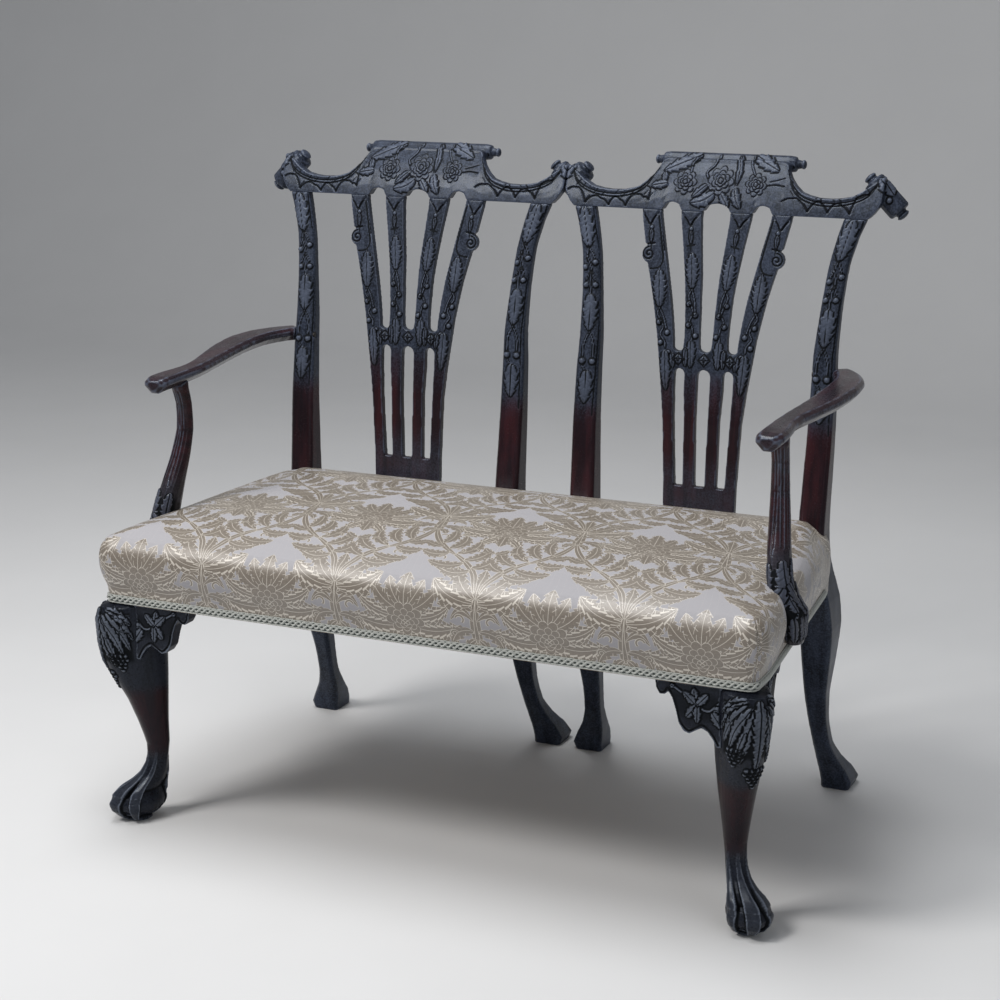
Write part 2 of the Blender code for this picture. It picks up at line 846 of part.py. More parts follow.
def arm_support(name, side, grow, material):
    """The S-shaped upright that stands on the side rail and carries the arm."""
    base = side_rail_line(support_line()) + support_width / 2 + fit_gap - support_splay
    rings = []
    for height, splay, bow, width, depth in support_shares:
        z = support_bottom + support_rise() * height
        x = base + support_splay * splay
        y = support_line() + support_bow * bow
        half_x = support_width * width / 2
        half_y = support_depth * depth / 2
        if z < rail_top_height + support_relief:
            x = max(x, side_rail_line(y - half_y) + half_x + fit_gap)
        half_x += grow
        half_y += grow
        ring = []
        for i in range(section_sides):
            turn = math.tau * (i + 0.5) / section_sides
            ring.append(Vector((side * (x + half_x * math.cos(turn)), y + half_y * math.sin(turn), z)))
        rings.append(ring)
    if grow:
        rings[0] = [point - Vector((0, 0, grow)) for point in rings[0]]
        rings[-1] = [point + Vector((0, 0, grow)) for point in rings[-1]]
    return loft(name, rings, material)


def screw_profile(length, grow):
    head = screw_head_height + grow
    return (
        (-grow, screw_head_radius + grow),
        (head, screw_head_radius + grow),
        (head + (screw_head_radius - screw_radius) / 2, screw_radius + grow),
        (length + grow, screw_radius + grow),
    )


def screw(name, start, end, length, material, holders):
    """A plain screw, with the hole that it needs in each of its holders."""
    made = rod(name, start, end, screw_profile(length, 0), screw_sides, material)
    hole = rod(name + "_hole", start, end, screw_profile(length, fit_gap), screw_sides, None)
    for holder in holders:
        cut(holder, hole)
    return made


def arm_screw(name, side, post, held):
    height = arm_height - arm_screw_drop
    reach, width, front, depth = post_box(height)
    inner = half_pitch + reach - width / 2
    start = Vector((side * inner, front + arm_screw_inset, height))
    return screw(name, start, start + Vector((side, 0, 0)), arm_screw_length, brass, (post, held))


def support_screw(name, side, index, holders):
    height = rail_bottom_height + support_screw_rise + support_screw_pitch * index
    share = (height - support_bottom) / support_rise()
    y = support_line() + support_bow * at(support_shares, share)[2]
    start = Vector((side * (side_rail_line(y) - rail_thickness + fit_gap), y, height))
    return screw(name, start, start + Vector((side, 0, 0)), support_screw_length, brass, holders)


def corner_block_front(name, side, material):
    inner_y = rail_inner_line + fit_gap
    block_x = front_half_width - leg_block - fit_gap
    block_y = leg_block - front_overhang + fit_gap
    loop = [
        (block_x - corner_block_arm, inner_y),
        (block_x, inner_y),
        (block_x, block_y),
        (side_rail_line(block_y) - rail_thickness - fit_gap, block_y),
        (side_rail_line(block_y + corner_block_arm) - rail_thickness - fit_gap, block_y + corner_block_arm),
    ]
    return corner_plate(name, side, loop, material)


def corner_block_rear(name, side, rooms, material):
    rear = rear_rail_front - fit_gap
    inner = side_rail_line(rear - corner_block_arm) - rail_thickness - fit_gap
    corner = side_rail_line(rear) - rail_thickness - fit_gap
    loop = [(corner, rear), (corner - corner_block_arm, rear), (inner, rear - corner_block_arm)]
    made = corner_plate(name, side, loop, material)
    cut(made, *rooms)
    return made


def corner_plate(name, side, loop, material):
    middle = rail_bottom_height + corner_block_height / 2

    def place(point):
        return Vector((side * point.x, point.y, middle + point.z))

    return plate(name, [loop], corner_block_height, place, material)


def woven_path(start, end, crossings, first_up, level):
    """Heights along a strap that passes over and under the straps that cross it."""
    step = (web_thickness + cloth_gap) / 2
    half = web_width / 2
    rest = level - step
    path = [(start, rest)]
    up = first_up
    for place in crossings:
        height = level + (step if up else -step)
        path += [(place - half, height), (place + half, height)]
        up = not up
    path.append((end, rest))
    return path


def strap(name, path, middle, along_x, material):
    rings = []
    for place, height in path:
        ring = []
        for sideways, up in ((-1, -1), (1, -1), (1, 1), (-1, 1)):
            across = middle + sideways * web_width / 2
            z = height + up * web_thickness / 2
            ring.append(Vector((place, across, z)) if along_x else Vector((across, place, z)))
        rings.append(ring)
    return loft(name, rings, material)


def cross_web_places():
    """One web in the middle, and even places between the posts of each chair back."""
    reach, width, _, _ = post_box(rail_top_height)
    inner, span = half_pitch - reach + width / 2, 2 * reach - width
    side = [inner + span * (i + 0.5) / cross_web_side_count for i in range(cross_web_side_count)]
    return [-place for place in reversed(side)] + [0.0] + side


def long_web_places():
    """Even places between the front rail and the rear rail."""
    run = rear_rail_front - rail_inner_line
    return [rail_inner_line + run * (i + 0.5) / long_web_count for i in range(long_web_count)]


def web_level():
    return rail_top_height + fit_gap + web_thickness + cloth_gap / 2


def webbing(material):
    long_places, cross_places = long_web_places(), cross_web_places()
    level = web_level()
    for row, y in enumerate(long_places):
        end = side_rail_line(y + web_width / 2) - web_lap
        path = woven_path(-end, end, cross_places, row % 2 == 0, level)
        strap("long_web_%d" % (row + 1), path, y, True, material)
    rear_end = shoe_front - cover_thickness - cloth_gap * 3
    for row, x in enumerate(cross_places):
        path = woven_path(web_lap - front_overhang, rear_end, long_places, row % 2 == 1, level)
        strap("cross_web_%d" % (row + 1), path, x, False, material)


def hessian_bottom():
    return web_level() + web_thickness + cloth_gap * 3 / 2


def hessian(material):
    front = web_lap - front_overhang
    rear = post_front - web_lap * 2
    loop = [
        (-side_rail_line(front) + web_lap, front),
        (side_rail_line(front) - web_lap, front),
        (side_rail_line(rear) - web_lap, rear),
        (-side_rail_line(rear) + web_lap, rear),
    ]
    middle = hessian_bottom() + hessian_thickness / 2

    def place(point):
        return Vector((point.x, point.y, middle + point.z))

    return plate("hessian", [loop], hessian_thickness, place, material)


def seat_outline():
    """Points round the seat with their outward directions, from the rear right corner by the front.

    The third value tells the rear edge, which stays flat against the shoes, from the rest. The fourth
    is the share of the front's section there, and the fifth how far the cover is drawn in.
    """
    rear_y = shoe_front - cloth_gap
    front_y = -front_overhang - fit_gap
    slope = side_rail_slope()
    side_turn = math.degrees(math.atan(slope))
    side_way = Vector((math.cos(math.radians(side_turn)), math.sin(math.radians(side_turn))))
    flip = Vector((-1, 1))
    tuck_line = support_line() - support_bow
    points = []

    def line(start, end, places, direction, rear):
        for place in places:
            spot = start.lerp(end, place)
            share, tuck = 0 if rear else 1, 0
            if not rear and direction.y >= 0:
                share = at(side_bulge_shares, 1 - place)[1]
                tuck = at(tuck_shares, min(abs(spot.y - tuck_line) / cover_tuck_reach, 1))[1]
            points.append((spot, direction, rear, share, tuck))

    def corner(centre, start, end, mirror):
        for i in range(6):
            turn = math.radians(start + (end - start) * i / 5)
            direction = Vector((math.cos(turn), math.sin(turn))) * mirror
            points.append((centre * mirror + direction * cover_corner_radius, direction, False, 1, 0))

    def side_spot(y):
        return Vector((side_rail_line(y) + fit_gap, y))

    centre = side_spot(front_y + cover_corner_radius) - Vector((cover_corner_radius, 0))
    rear_spot, front_spot = side_spot(rear_y), side_spot(leg_block - front_overhang)
    front_corner = centre - Vector((0, cover_corner_radius))
    shares = [i / 8 for i in range(9)]
    run = front_spot.y - rear_spot.y
    for step in (-0.8, -0.4, 0, 0.4, 0.8):
        shares.append((tuck_line + cover_tuck_reach * step - rear_spot.y) / run)
    shares = sorted(share for share in shares if 0 <= share <= 1)
    line(rear_spot, front_spot, shares, side_way, False)
    corner(centre, 0, -90, Vector((1, 1)))
    line(front_corner, front_corner * flip, [i / 9 for i in range(1, 9)], Vector((0, -1)), False)
    corner(centre, -90, 0, flip)
    line(rear_spot * flip, front_spot * flip, [share for share in reversed(shares)], side_way * flip, False)
    turn_in = Vector((cover_rear_turn, 0))
    rear_shares = [i / 10 for i in range(11)]
    line((rear_spot - turn_in) * flip, rear_spot - turn_in, rear_shares, Vector((0, 1)), True)
    return points


def edge_profile(inset, share, tuck):
    """The seat's edge section at one place, drawn in by an even inset: offsets outwards and heights."""
    base = rail_bottom_height + lip_proud / 2
    section = []
    for full, flat, up in edge_shares:
        out = share * (1 - tuck) * full + (1 - share) * flat
        section.append((cover_bulge * out, base + cover_rise * up))
    made = []
    for i, (out, up) in enumerate(section):
        before, after = section[max(i - 1, 0)], section[min(i + 1, len(section) - 1)]
        run = Vector((after[0] - before[0], after[1] - before[1])).normalized()
        made.append((out + cover_thickness - run.y * inset, up + run.x * inset))
    return made


def seat_rings(inset, first):
    """Rings of the seat's surface, from a row of its edge up to the crown."""
    outline = seat_outline()
    base = rail_bottom_height + lip_proud / 2
    rear_base = rail_top_height + cloth_gap
    rear_rise = base + cover_rise - rear_base
    corner = max(place.x for place, _, rear, _, _ in outline if rear)
    rings = []
    for row in range(first, len(edge_shares)):
        _, flat, up = edge_shares[row]
        ring = []
        for place, direction, rear, share, tuck in outline:
            out, z = edge_profile(inset, share, tuck)[row]
            spot = place + direction * (-inset if rear else out)
            if rear:
                spot.x *= 1 + min(cover_bulge * flat - inset, 0) / corner
                z = rear_base + up * (rear_rise - inset)
            spot.y = min(spot.y, shoe_front - cloth_gap - inset)
            ring.append(Vector((spot.x, spot.y, z)))
        rings.append(ring)
    edge = rings[-1]
    half_x = max(point.x for point in edge)
    half_y = (max(point.y for point in edge) - min(point.y for point in edge)) / 2
    middle = Vector((0, max(point.y for point in edge) - half_y, 0))
    turns = [(1 - cover_shoulder * share / half_x, 1 - cover_shoulder * share / half_y, crown) for share, crown in shoulder_shares]
    turns += [(scale, scale, crown) for scale, crown in crown_shares]
    for across, along, crown in turns:
        z = base + cover_rise + cover_crown * crown - inset
        rings.append([Vector((point.x * across, middle.y + (point.y - middle.y) * along, z)) for point in edge])
    return rings


def damask_cover(rooms, material):
    """The outer covering: an open skin given its thickness, scribed round posts and supports."""
    shape = bmesh.new()
    rows = [[shape.verts.new(point) for point in ring] for ring in seat_rings(0, 0)]
    for low, high in zip(rows, rows[1:]):
        for i in range(len(low)):
            j = (i + 1) % len(low)
            shape.faces.new((low[i], low[j], high[j], high[i]))
    crown = bmesh.ops.poke(shape, faces=[shape.faces.new(rows[-1])])["faces"]
    bmesh.ops.recalc_face_normals(shape, faces=shape.faces)
    if crown[0].normal.z < 0:
        bmesh.ops.reverse_faces(shape, faces=shape.faces)
    mesh = bpy.data.meshes.new("damask_cover")
    shape.to_mesh(mesh)
    shape.free()
    made = new_object("damask_cover", mesh, material)
    skin = made.modifiers.new("skin", "SOLIDIFY")
    skin.thickness = cover_thickness
    skin.offset = -1
    cut(made, *rooms)
    return made


def seat_pad(rooms, material):
    """The stuffing under the cover, crowned and drawn in at its sides."""
    rings = seat_rings(cover_thickness + cloth_gap + pad_ease, 4)
    bottom = hessian_bottom() + hessian_thickness + cloth_gap
    rings[0] = [Vector((point.x, point.y, bottom)) for point in rings[0]]
    made = loft("seat_pad", rings, material, fan=True)
    cut(made, *rooms)
    return made


def gimp_braid(material):
    """The braid tacked round the lower edge of the cover, from post to post by the front."""
    low = rail_bottom_height + lip_proud / 2
    inner = cover_thickness + fit_gap
    rings = []
    for place, direction, rear, _, _ in seat_outline():
        if rear or place.y > post_front - web_lap:
            continue
        near = place + direction * inner
        far = place + direction * (inner + braid_thickness)
        rings.append(
            [
                Vector((near.x, near.y, low)),
                Vector((far.x, far.y, low)),
                Vector((far.x, far.y, low + braid_height)),
                Vector((near.x, near.y, low + braid_height)),
            ]
        )
    return loft("gimp_braid", rings, material)


def dowel(material, holders):
    height = crest_joint_height + crest_height * dowel_share
    y = crest_front(height) + crest_thickness / 2
    half = dowel_length / 2
    start, end = Vector((-half, y, height)), Vector((half, y, height))
    made = rod("crest_dowel", start, end, ((0, dowel_radius), (dowel_length, dowel_radius)), screw_sides, material)
    grown = dowel_radius + fit_gap
    profile = ((-fit_gap, grown), (dowel_length + fit_gap, grown))
    hole = rod("crest_dowel_hole", start, end, profile, screw_sides, None)
    for holder in holders:
        cut(holder, hole)
    return made


def side_name(side):
    return "left" if side < 0 else "right"


def build():
    posts, rooms = {}, {}
    for centre_side in (-1, 1):
        for side in (-1, 1):
            place = "outer" if side == centre_side else "inner"
            label = "%s_%s" % (side_name(centre_side), place)
            centre = centre_side * half_pitch
            posts[label] = rear_post(label + "_rear_post", centre, side, 0, dark_wood)
            rooms[label] = rear_post(label + "_post_room", centre, side, fit_gap, None)
    all_rooms = list(rooms.values())

    box(
        "front_rail",
        (fit_gap + leg_block - front_half_width, -front_overhang, rail_bottom_height),
        (front_half_width - leg_block - fit_gap, rail_inner_line, rail_top_height),
        frame_wood,
    )
    inner_face = half_pitch - post_box(rail_bottom_height)[0]
    outer_face = half_pitch + post_box(rail_bottom_height)[0]
    rear_rail("middle_rear_rail", -inner_face, inner_face, (rooms["left_inner"], rooms["right_inner"]), frame_wood)
    rear_rail("left_rear_rail", -outer_face, -inner_face, (rooms["left_outer"], rooms["left_inner"]), frame_wood)
    rear_rail("right_rear_rail", inner_face, outer_face, (rooms["right_inner"], rooms["right_outer"]), frame_wood)
    box(
        "medial_brace",
        (-brace_half_width, rail_inner_line + fit_gap, rail_bottom_height),
        (brace_half_width, rear_rail_front - fit_gap, rail_bottom_height + brace_height),
        frame_wood,
    )

    support_rooms, rails, arms, supports = [], {}, {}, {}
    for side in (-1, 1):
        label = side_name(side)
        outer = label + "_outer"
        front_leg("front_leg_" + label, side, 0, dark_wood)
        leg_room = front_leg("leg_room_" + label, side, fit_gap, None)
        knee_bracket("front_knee_bracket_" + label, side, True, leg_room, dark_wood)
        knee_bracket("side_knee_bracket_" + label, side, False, leg_room, dark_wood)
        rails[side] = side_rail("side_rail_" + label, side, (rooms[outer],), frame_wood)
        corner_block_front("front_corner_block_" + label, side, frame_wood)
        corner_block_rear("rear_corner_block_" + label, side, (rooms[outer],), frame_wood)
        arms[side] = arm("arm_" + label, side, 0, red_wood)
        cut(arms[side], rooms[outer])
        arm_room = arm("arm_room_" + label, side, fit_gap, None)
        supports[side] = arm_support("arm_support_" + label, side, 0, red_wood)
        cut(supports[side], arm_room)
        support_rooms.append(arm_support("support_room_" + label, side, fit_gap, None))
        arm_screw("arm_screw_" + label, side, posts[outer], arms[side])

    crests = []
    for side in (-1, 1):
        label = side_name(side)
        centre = side * half_pitch
        splat("splat_" + label, centre, 0, dark_wood)
        shoe_room = splat("splat_room_" + label, centre, fit_gap, None)
        splat_shoe("splat_shoe_" + label, centre, shoe_room, frame_wood)
        crests.append(crest_rail("crest_rail_" + label, centre, dark_wood))
    dowel(frame_wood, crests)

    webbing(jute)
    hessian(linen)
    seat_pad(all_rooms + support_rooms, stuffing)
    cover = damask_cover(all_rooms + support_rooms, damask)
    gimp_braid(braid)
    for side in (-1, 1):
        for index in range(2):
            name = "support_screw_%s_%d" % (side_name(side), index + 1)
            support_screw(name, side, index, (rails[side], cover, supports[side]))


def settle_on_origin():
    """Moves the whole piece so that the origin is under the middle of its bounding box."""
    bpy.context.view_layer.update()
    graph = bpy.context.evaluated_depsgraph_get()
    reach = []
    for part in parts.objects:
        if part.type == "MESH":
            shape = part.evaluated_get(graph)
            reach += [(shape.matrix_world @ Vector(corner)).y for corner in shape.bound_box]
    settee.location.y = -(min(reach) + max(reach)) / 2


clear_scene()
parts = new_collection("settee")
cutters = new_collection("cutters")
settee = bpy.data.objects.new("settee_origin", None)
parts.objects.link(settee)
dark_wood = new_material("carved_mahogany", (0.030, 0.020, 0.022), 0.38)
red_wood = new_material("polished_mahogany", (0.075, 0.020, 0.016), 0.30)
frame_wood = new_material("beech_frame", (0.420, 0.270, 0.150), 0.60)
brass = new_material("screw_steel", (0.350, 0.330, 0.300), 0.40)
jute = new_material("jute_webbing", (0.360, 0.250, 0.130), 0.85)
linen = new_material("hessian_cloth", (0.430, 0.320, 0.190), 0.90)
stuffing = new_material("stuffing", (0.620, 0.560, 0.460), 0.95)
damask = new_material("silver_damask", (0.520, 0.480, 0.440), 0.45)
braid = new_material("pale_braid", (0.560, 0.580, 0.540), 0.60)
build()
settle_on_origin()
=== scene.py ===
import math

import bmesh
import bpy
import numpy as np
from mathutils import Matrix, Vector


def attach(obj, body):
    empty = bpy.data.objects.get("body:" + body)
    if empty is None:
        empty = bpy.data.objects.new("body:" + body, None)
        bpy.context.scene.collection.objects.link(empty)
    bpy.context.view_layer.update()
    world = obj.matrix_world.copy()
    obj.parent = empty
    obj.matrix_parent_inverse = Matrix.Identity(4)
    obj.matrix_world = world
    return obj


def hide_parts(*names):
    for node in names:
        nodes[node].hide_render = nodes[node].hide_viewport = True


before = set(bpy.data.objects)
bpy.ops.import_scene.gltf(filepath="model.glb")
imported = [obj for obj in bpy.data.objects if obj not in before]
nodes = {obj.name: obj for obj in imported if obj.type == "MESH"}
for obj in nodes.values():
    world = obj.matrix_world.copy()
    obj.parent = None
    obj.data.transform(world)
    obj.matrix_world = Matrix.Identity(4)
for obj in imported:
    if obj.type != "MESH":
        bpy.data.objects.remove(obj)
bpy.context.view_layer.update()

shift = -0.27805  # the settee's own middle, front to back
print("settee frame loaded")


# Shader sums written as Python expressions
class Wire:
    def __init__(self, finish, socket):
        self.finish, self.socket = finish, socket

    def maths(self, operation, *others):
        sockets = dict(enumerate((self, *others)))
        return self.finish.node("ShaderNodeMath", {"operation": operation}, sockets)

    def __add__(self, other):
        return self.maths("ADD", other)

    def __sub__(self, other):
        return self.maths("SUBTRACT", other)

    def __mul__(self, other):
        return self.maths("MULTIPLY", other)

    def __truediv__(self, other):
        return self.maths("DIVIDE", other)

    def __rsub__(self, other):
        return self.finish.node("ShaderNodeMath", {"operation": "SUBTRACT"}, {0: other, 1: self})

    def __pow__(self, other):
        return self.maths("POWER", other)

    def __abs__(self):
        return self.maths("ABSOLUTE")

    def __mod__(self, other):
        return self.maths("FLOORED_MODULO", other)

    __radd__ = __add__
    __rmul__ = __mul__

    def sin(self):
        return self.maths("SINE")

    def most(self, other):
        return self.maths("MAXIMUM", other)

    def step(self, low, high, start=0.0, end=1.0):  # a smooth step between two levels
        sockets = {0: self, 1: low, 2: high, 3: start, 4: end}
        return self.finish.node("ShaderNodeMapRange", {"interpolation_type": "SMOOTHSTEP"}, sockets)


class Finish:
    def __init__(self, name, constants):
        self.material = bpy.data.materials.new(name)
        self.material.use_nodes = True
        self.tree = self.material.node_tree
        self.shader = self.tree.nodes["Principled BSDF"]
        for socket, value in constants.items():
            self.shader.inputs[socket].default_value = value

    def node(self, kind, settings=None, sockets=None, out=0):
        made = self.tree.nodes.new(kind)
        for key, value in (settings or {}).items():
            setattr(made, key, value)
        for key, value in (sockets or {}).items():
            self.feed(made.inputs[key], value)
        return Wire(self, made.outputs[out])

    def feed(self, socket, value):
        if isinstance(value, Wire):
            self.tree.links.new(value.socket, socket)
        else:
            socket.default_value = value

    def place(self):
        return self.node("ShaderNodeTexCoord", out="Object")

    def flat(self):
        return self.node("ShaderNodeUVMap", {"uv_map": "cloth"})

    def split(self, vector):
        made = self.tree.nodes.new("ShaderNodeSeparateXYZ")
        self.feed(made.inputs[0], vector)
        return [Wire(self, made.outputs[i]) for i in range(3)]

    def join(self, x, y, z):
        return self.node("ShaderNodeCombineXYZ", None, {0: x, 1: y, 2: z})

    def scaled(self, vector, scale):
        return self.node("ShaderNodeVectorMath", {"operation": "MULTIPLY"}, {0: vector, 1: scale})

    def noise(self, vector, scale, detail=3.0, rough=0.55):
        sockets = {"Vector": vector, "Scale": scale, "Detail": detail, "Roughness": rough}
        return self.node("ShaderNodeTexNoise", None, sockets)

    def painted(self, name):
        return self.node("ShaderNodeAttribute", {"attribute_name": name}, out="Fac")

    def blend(self, share, one, two):
        pick = lambda colour: colour if isinstance(colour, Wire) else (*colour, 1)
        made = self.tree.nodes.new("ShaderNodeMix")
        made.data_type = "RGBA"
        for socket, value in ((0, share), (6, pick(one)), (7, pick(two))):
            self.feed(made.inputs[socket], value)
        return Wire(self, made.outputs[2])

    def finish(self, colour, rough, height=None, distance=0.0005):
        self.feed(self.shader.inputs["Base Color"], colour)
        self.feed(self.shader.inputs["Roughness"], rough)
        if height is not None:
            bump = {"Height": height, "Distance": distance, "Strength": 1.0}
            self.feed(self.shader.inputs["Normal"], self.node("ShaderNodeBump", None, bump))
        return self.material


# Finishes of the wood
def mahoganyFinish(name, look):
    made = Finish(name, {
        "Specular IOR Level": look["specular"],
        "Specular Tint": look["shine"],
        "Coat Roughness": look["coatRough"],
        "IOR": 1.5,
    })
    place = made.place()
    figure = made.noise(made.scaled(place, look["run"]), 60.0, 4.0, 0.6)
    streak = made.noise(made.scaled(place, look["run"]), 420.0, 2.0, 0.5)
    # random mottle that varies the red, the roughness and the strength of the painted highlight
    paintedLightAndWear = made.noise(place, 30.0, 3.0, 0.6)
    speck = made.noise(place, 330.0, 3.0, 0.7)
    warm = made.painted("polish")
    hollow = made.painted("hollow")
    ridge = made.painted("ridge")
    grain = figure.step(0.32, 0.68) * 0.45 + speck.step(0.42, 0.62) * 0.55
    cool = made.blend(grain, look["dark"], look["cool"])
    red = made.blend(figure.step(0.36, 0.66) * 0.7 + streak * 0.3, look["redDark"], look["red"])
    wood = made.blend((warm + (paintedLightAndWear - 0.5) * 0.5).step(0.15, 0.95), cool, red)
    # painted highlight: a pale blue-grey laid over raised carving and outer edges, standing in for light
    # catching them
    highlighted = made.blend(ridge * ridge * (paintedLightAndWear * 0.9 + 0.15), wood, look["paintedHighlight"])
    # painted shade: hollows and cut lines turn near-black, standing in for shade falling in them; they are
    # also rougher and take no coat
    cut = hollow.step(0.08, 0.55)
    colour = made.blend(cut, highlighted, look["hollowShade"])
    rough = look["rough"] + (paintedLightAndWear - 0.5) * 0.22 + cut * 0.35 + (speck - 0.5) * 0.35 - warm * 0.17
    made.feed(made.shader.inputs["Coat Weight"], (1 - cut) * look["coat"])
    return made.finish(colour, rough.most(0.15), figure * 0.25 + streak * 0.3 + speck * 0.35, 0.0003)


woodLook = {
    "run": (1.0, 1.0, 0.09),
    "dark": (0.0060, 0.0074, 0.0120),
    "cool": (0.0440, 0.0540, 0.0820),
    "redDark": (0.0075, 0.0034, 0.0050),
    "red": (0.0350, 0.0085, 0.0105),
    # painted highlight colour for raised carving and outer edges
    "paintedHighlight": (0.0950, 0.1120, 0.1550),
    # painted shade colour for hollows and cut lines
    "hollowShade": (0.0008, 0.0008, 0.0012),
    "shine": (0.78, 0.88, 1.0, 1),
    "rough": 0.38,
    "specular": 0.20,
    "coat": 0.08,
    "coatRough": 0.22,
}
carvedWood = mahoganyFinish("carvedMahogany", woodLook)
legLook = {
    "dark": (0.0050, 0.0056, 0.0090),
    "cool": (0.0150, 0.0175, 0.0270),
    "red": (0.0200, 0.0052, 0.0070),
    # painted highlight colour for raised carving and outer edges
    "paintedHighlight": (0.1700, 0.1950, 0.2450),
    "specular": 0.16,
    "rough": 0.34,
}
legWood = mahoganyFinish("legMahogany", {**woodLook, **legLook})
armLook = {
    "run": (1.0, 0.12, 1.0),
    "dark": (0.0085, 0.0065, 0.0095),
    "cool": (0.0300, 0.0250, 0.0340),
    "coat": 0.25,
}
armWood = mahoganyFinish("armMahogany", {**woodLook, **armLook})


# Surface work on dense copies of the frame's own solids
def smoothstep(low, high, value):
    t = np.clip((value - low) / (high - low), 0, 1)
    return t * t * (3 - 2 * t)


def throughPoints(points, steps=7):  # a smooth line through a few points
    points = [np.array(point, float) for point in points]
    if len(points) < 3:
        return points
    line = []
    ends = [2 * points[0] - points[1]] + points + [2 * points[-1] - points[-2]]
    for a, b, c, d in zip(ends, ends[1:], ends[2:], ends[3:]):
        for i in range(steps):
            t = i / steps
            curved = (2 * a - 5 * b + 4 * c - d) * t**2 + (3 * b - a - 3 * c + d) * t**3
            line.append(0.5 * (2 * b + (c - a) * t + curved))
    return line + [points[-1]]


def bell(value, middle, spread):
    return np.exp(-(((value - middle) / spread) ** 2))


def pairs(numbers):
    return list(zip(numbers[::2], numbers[1::2]))


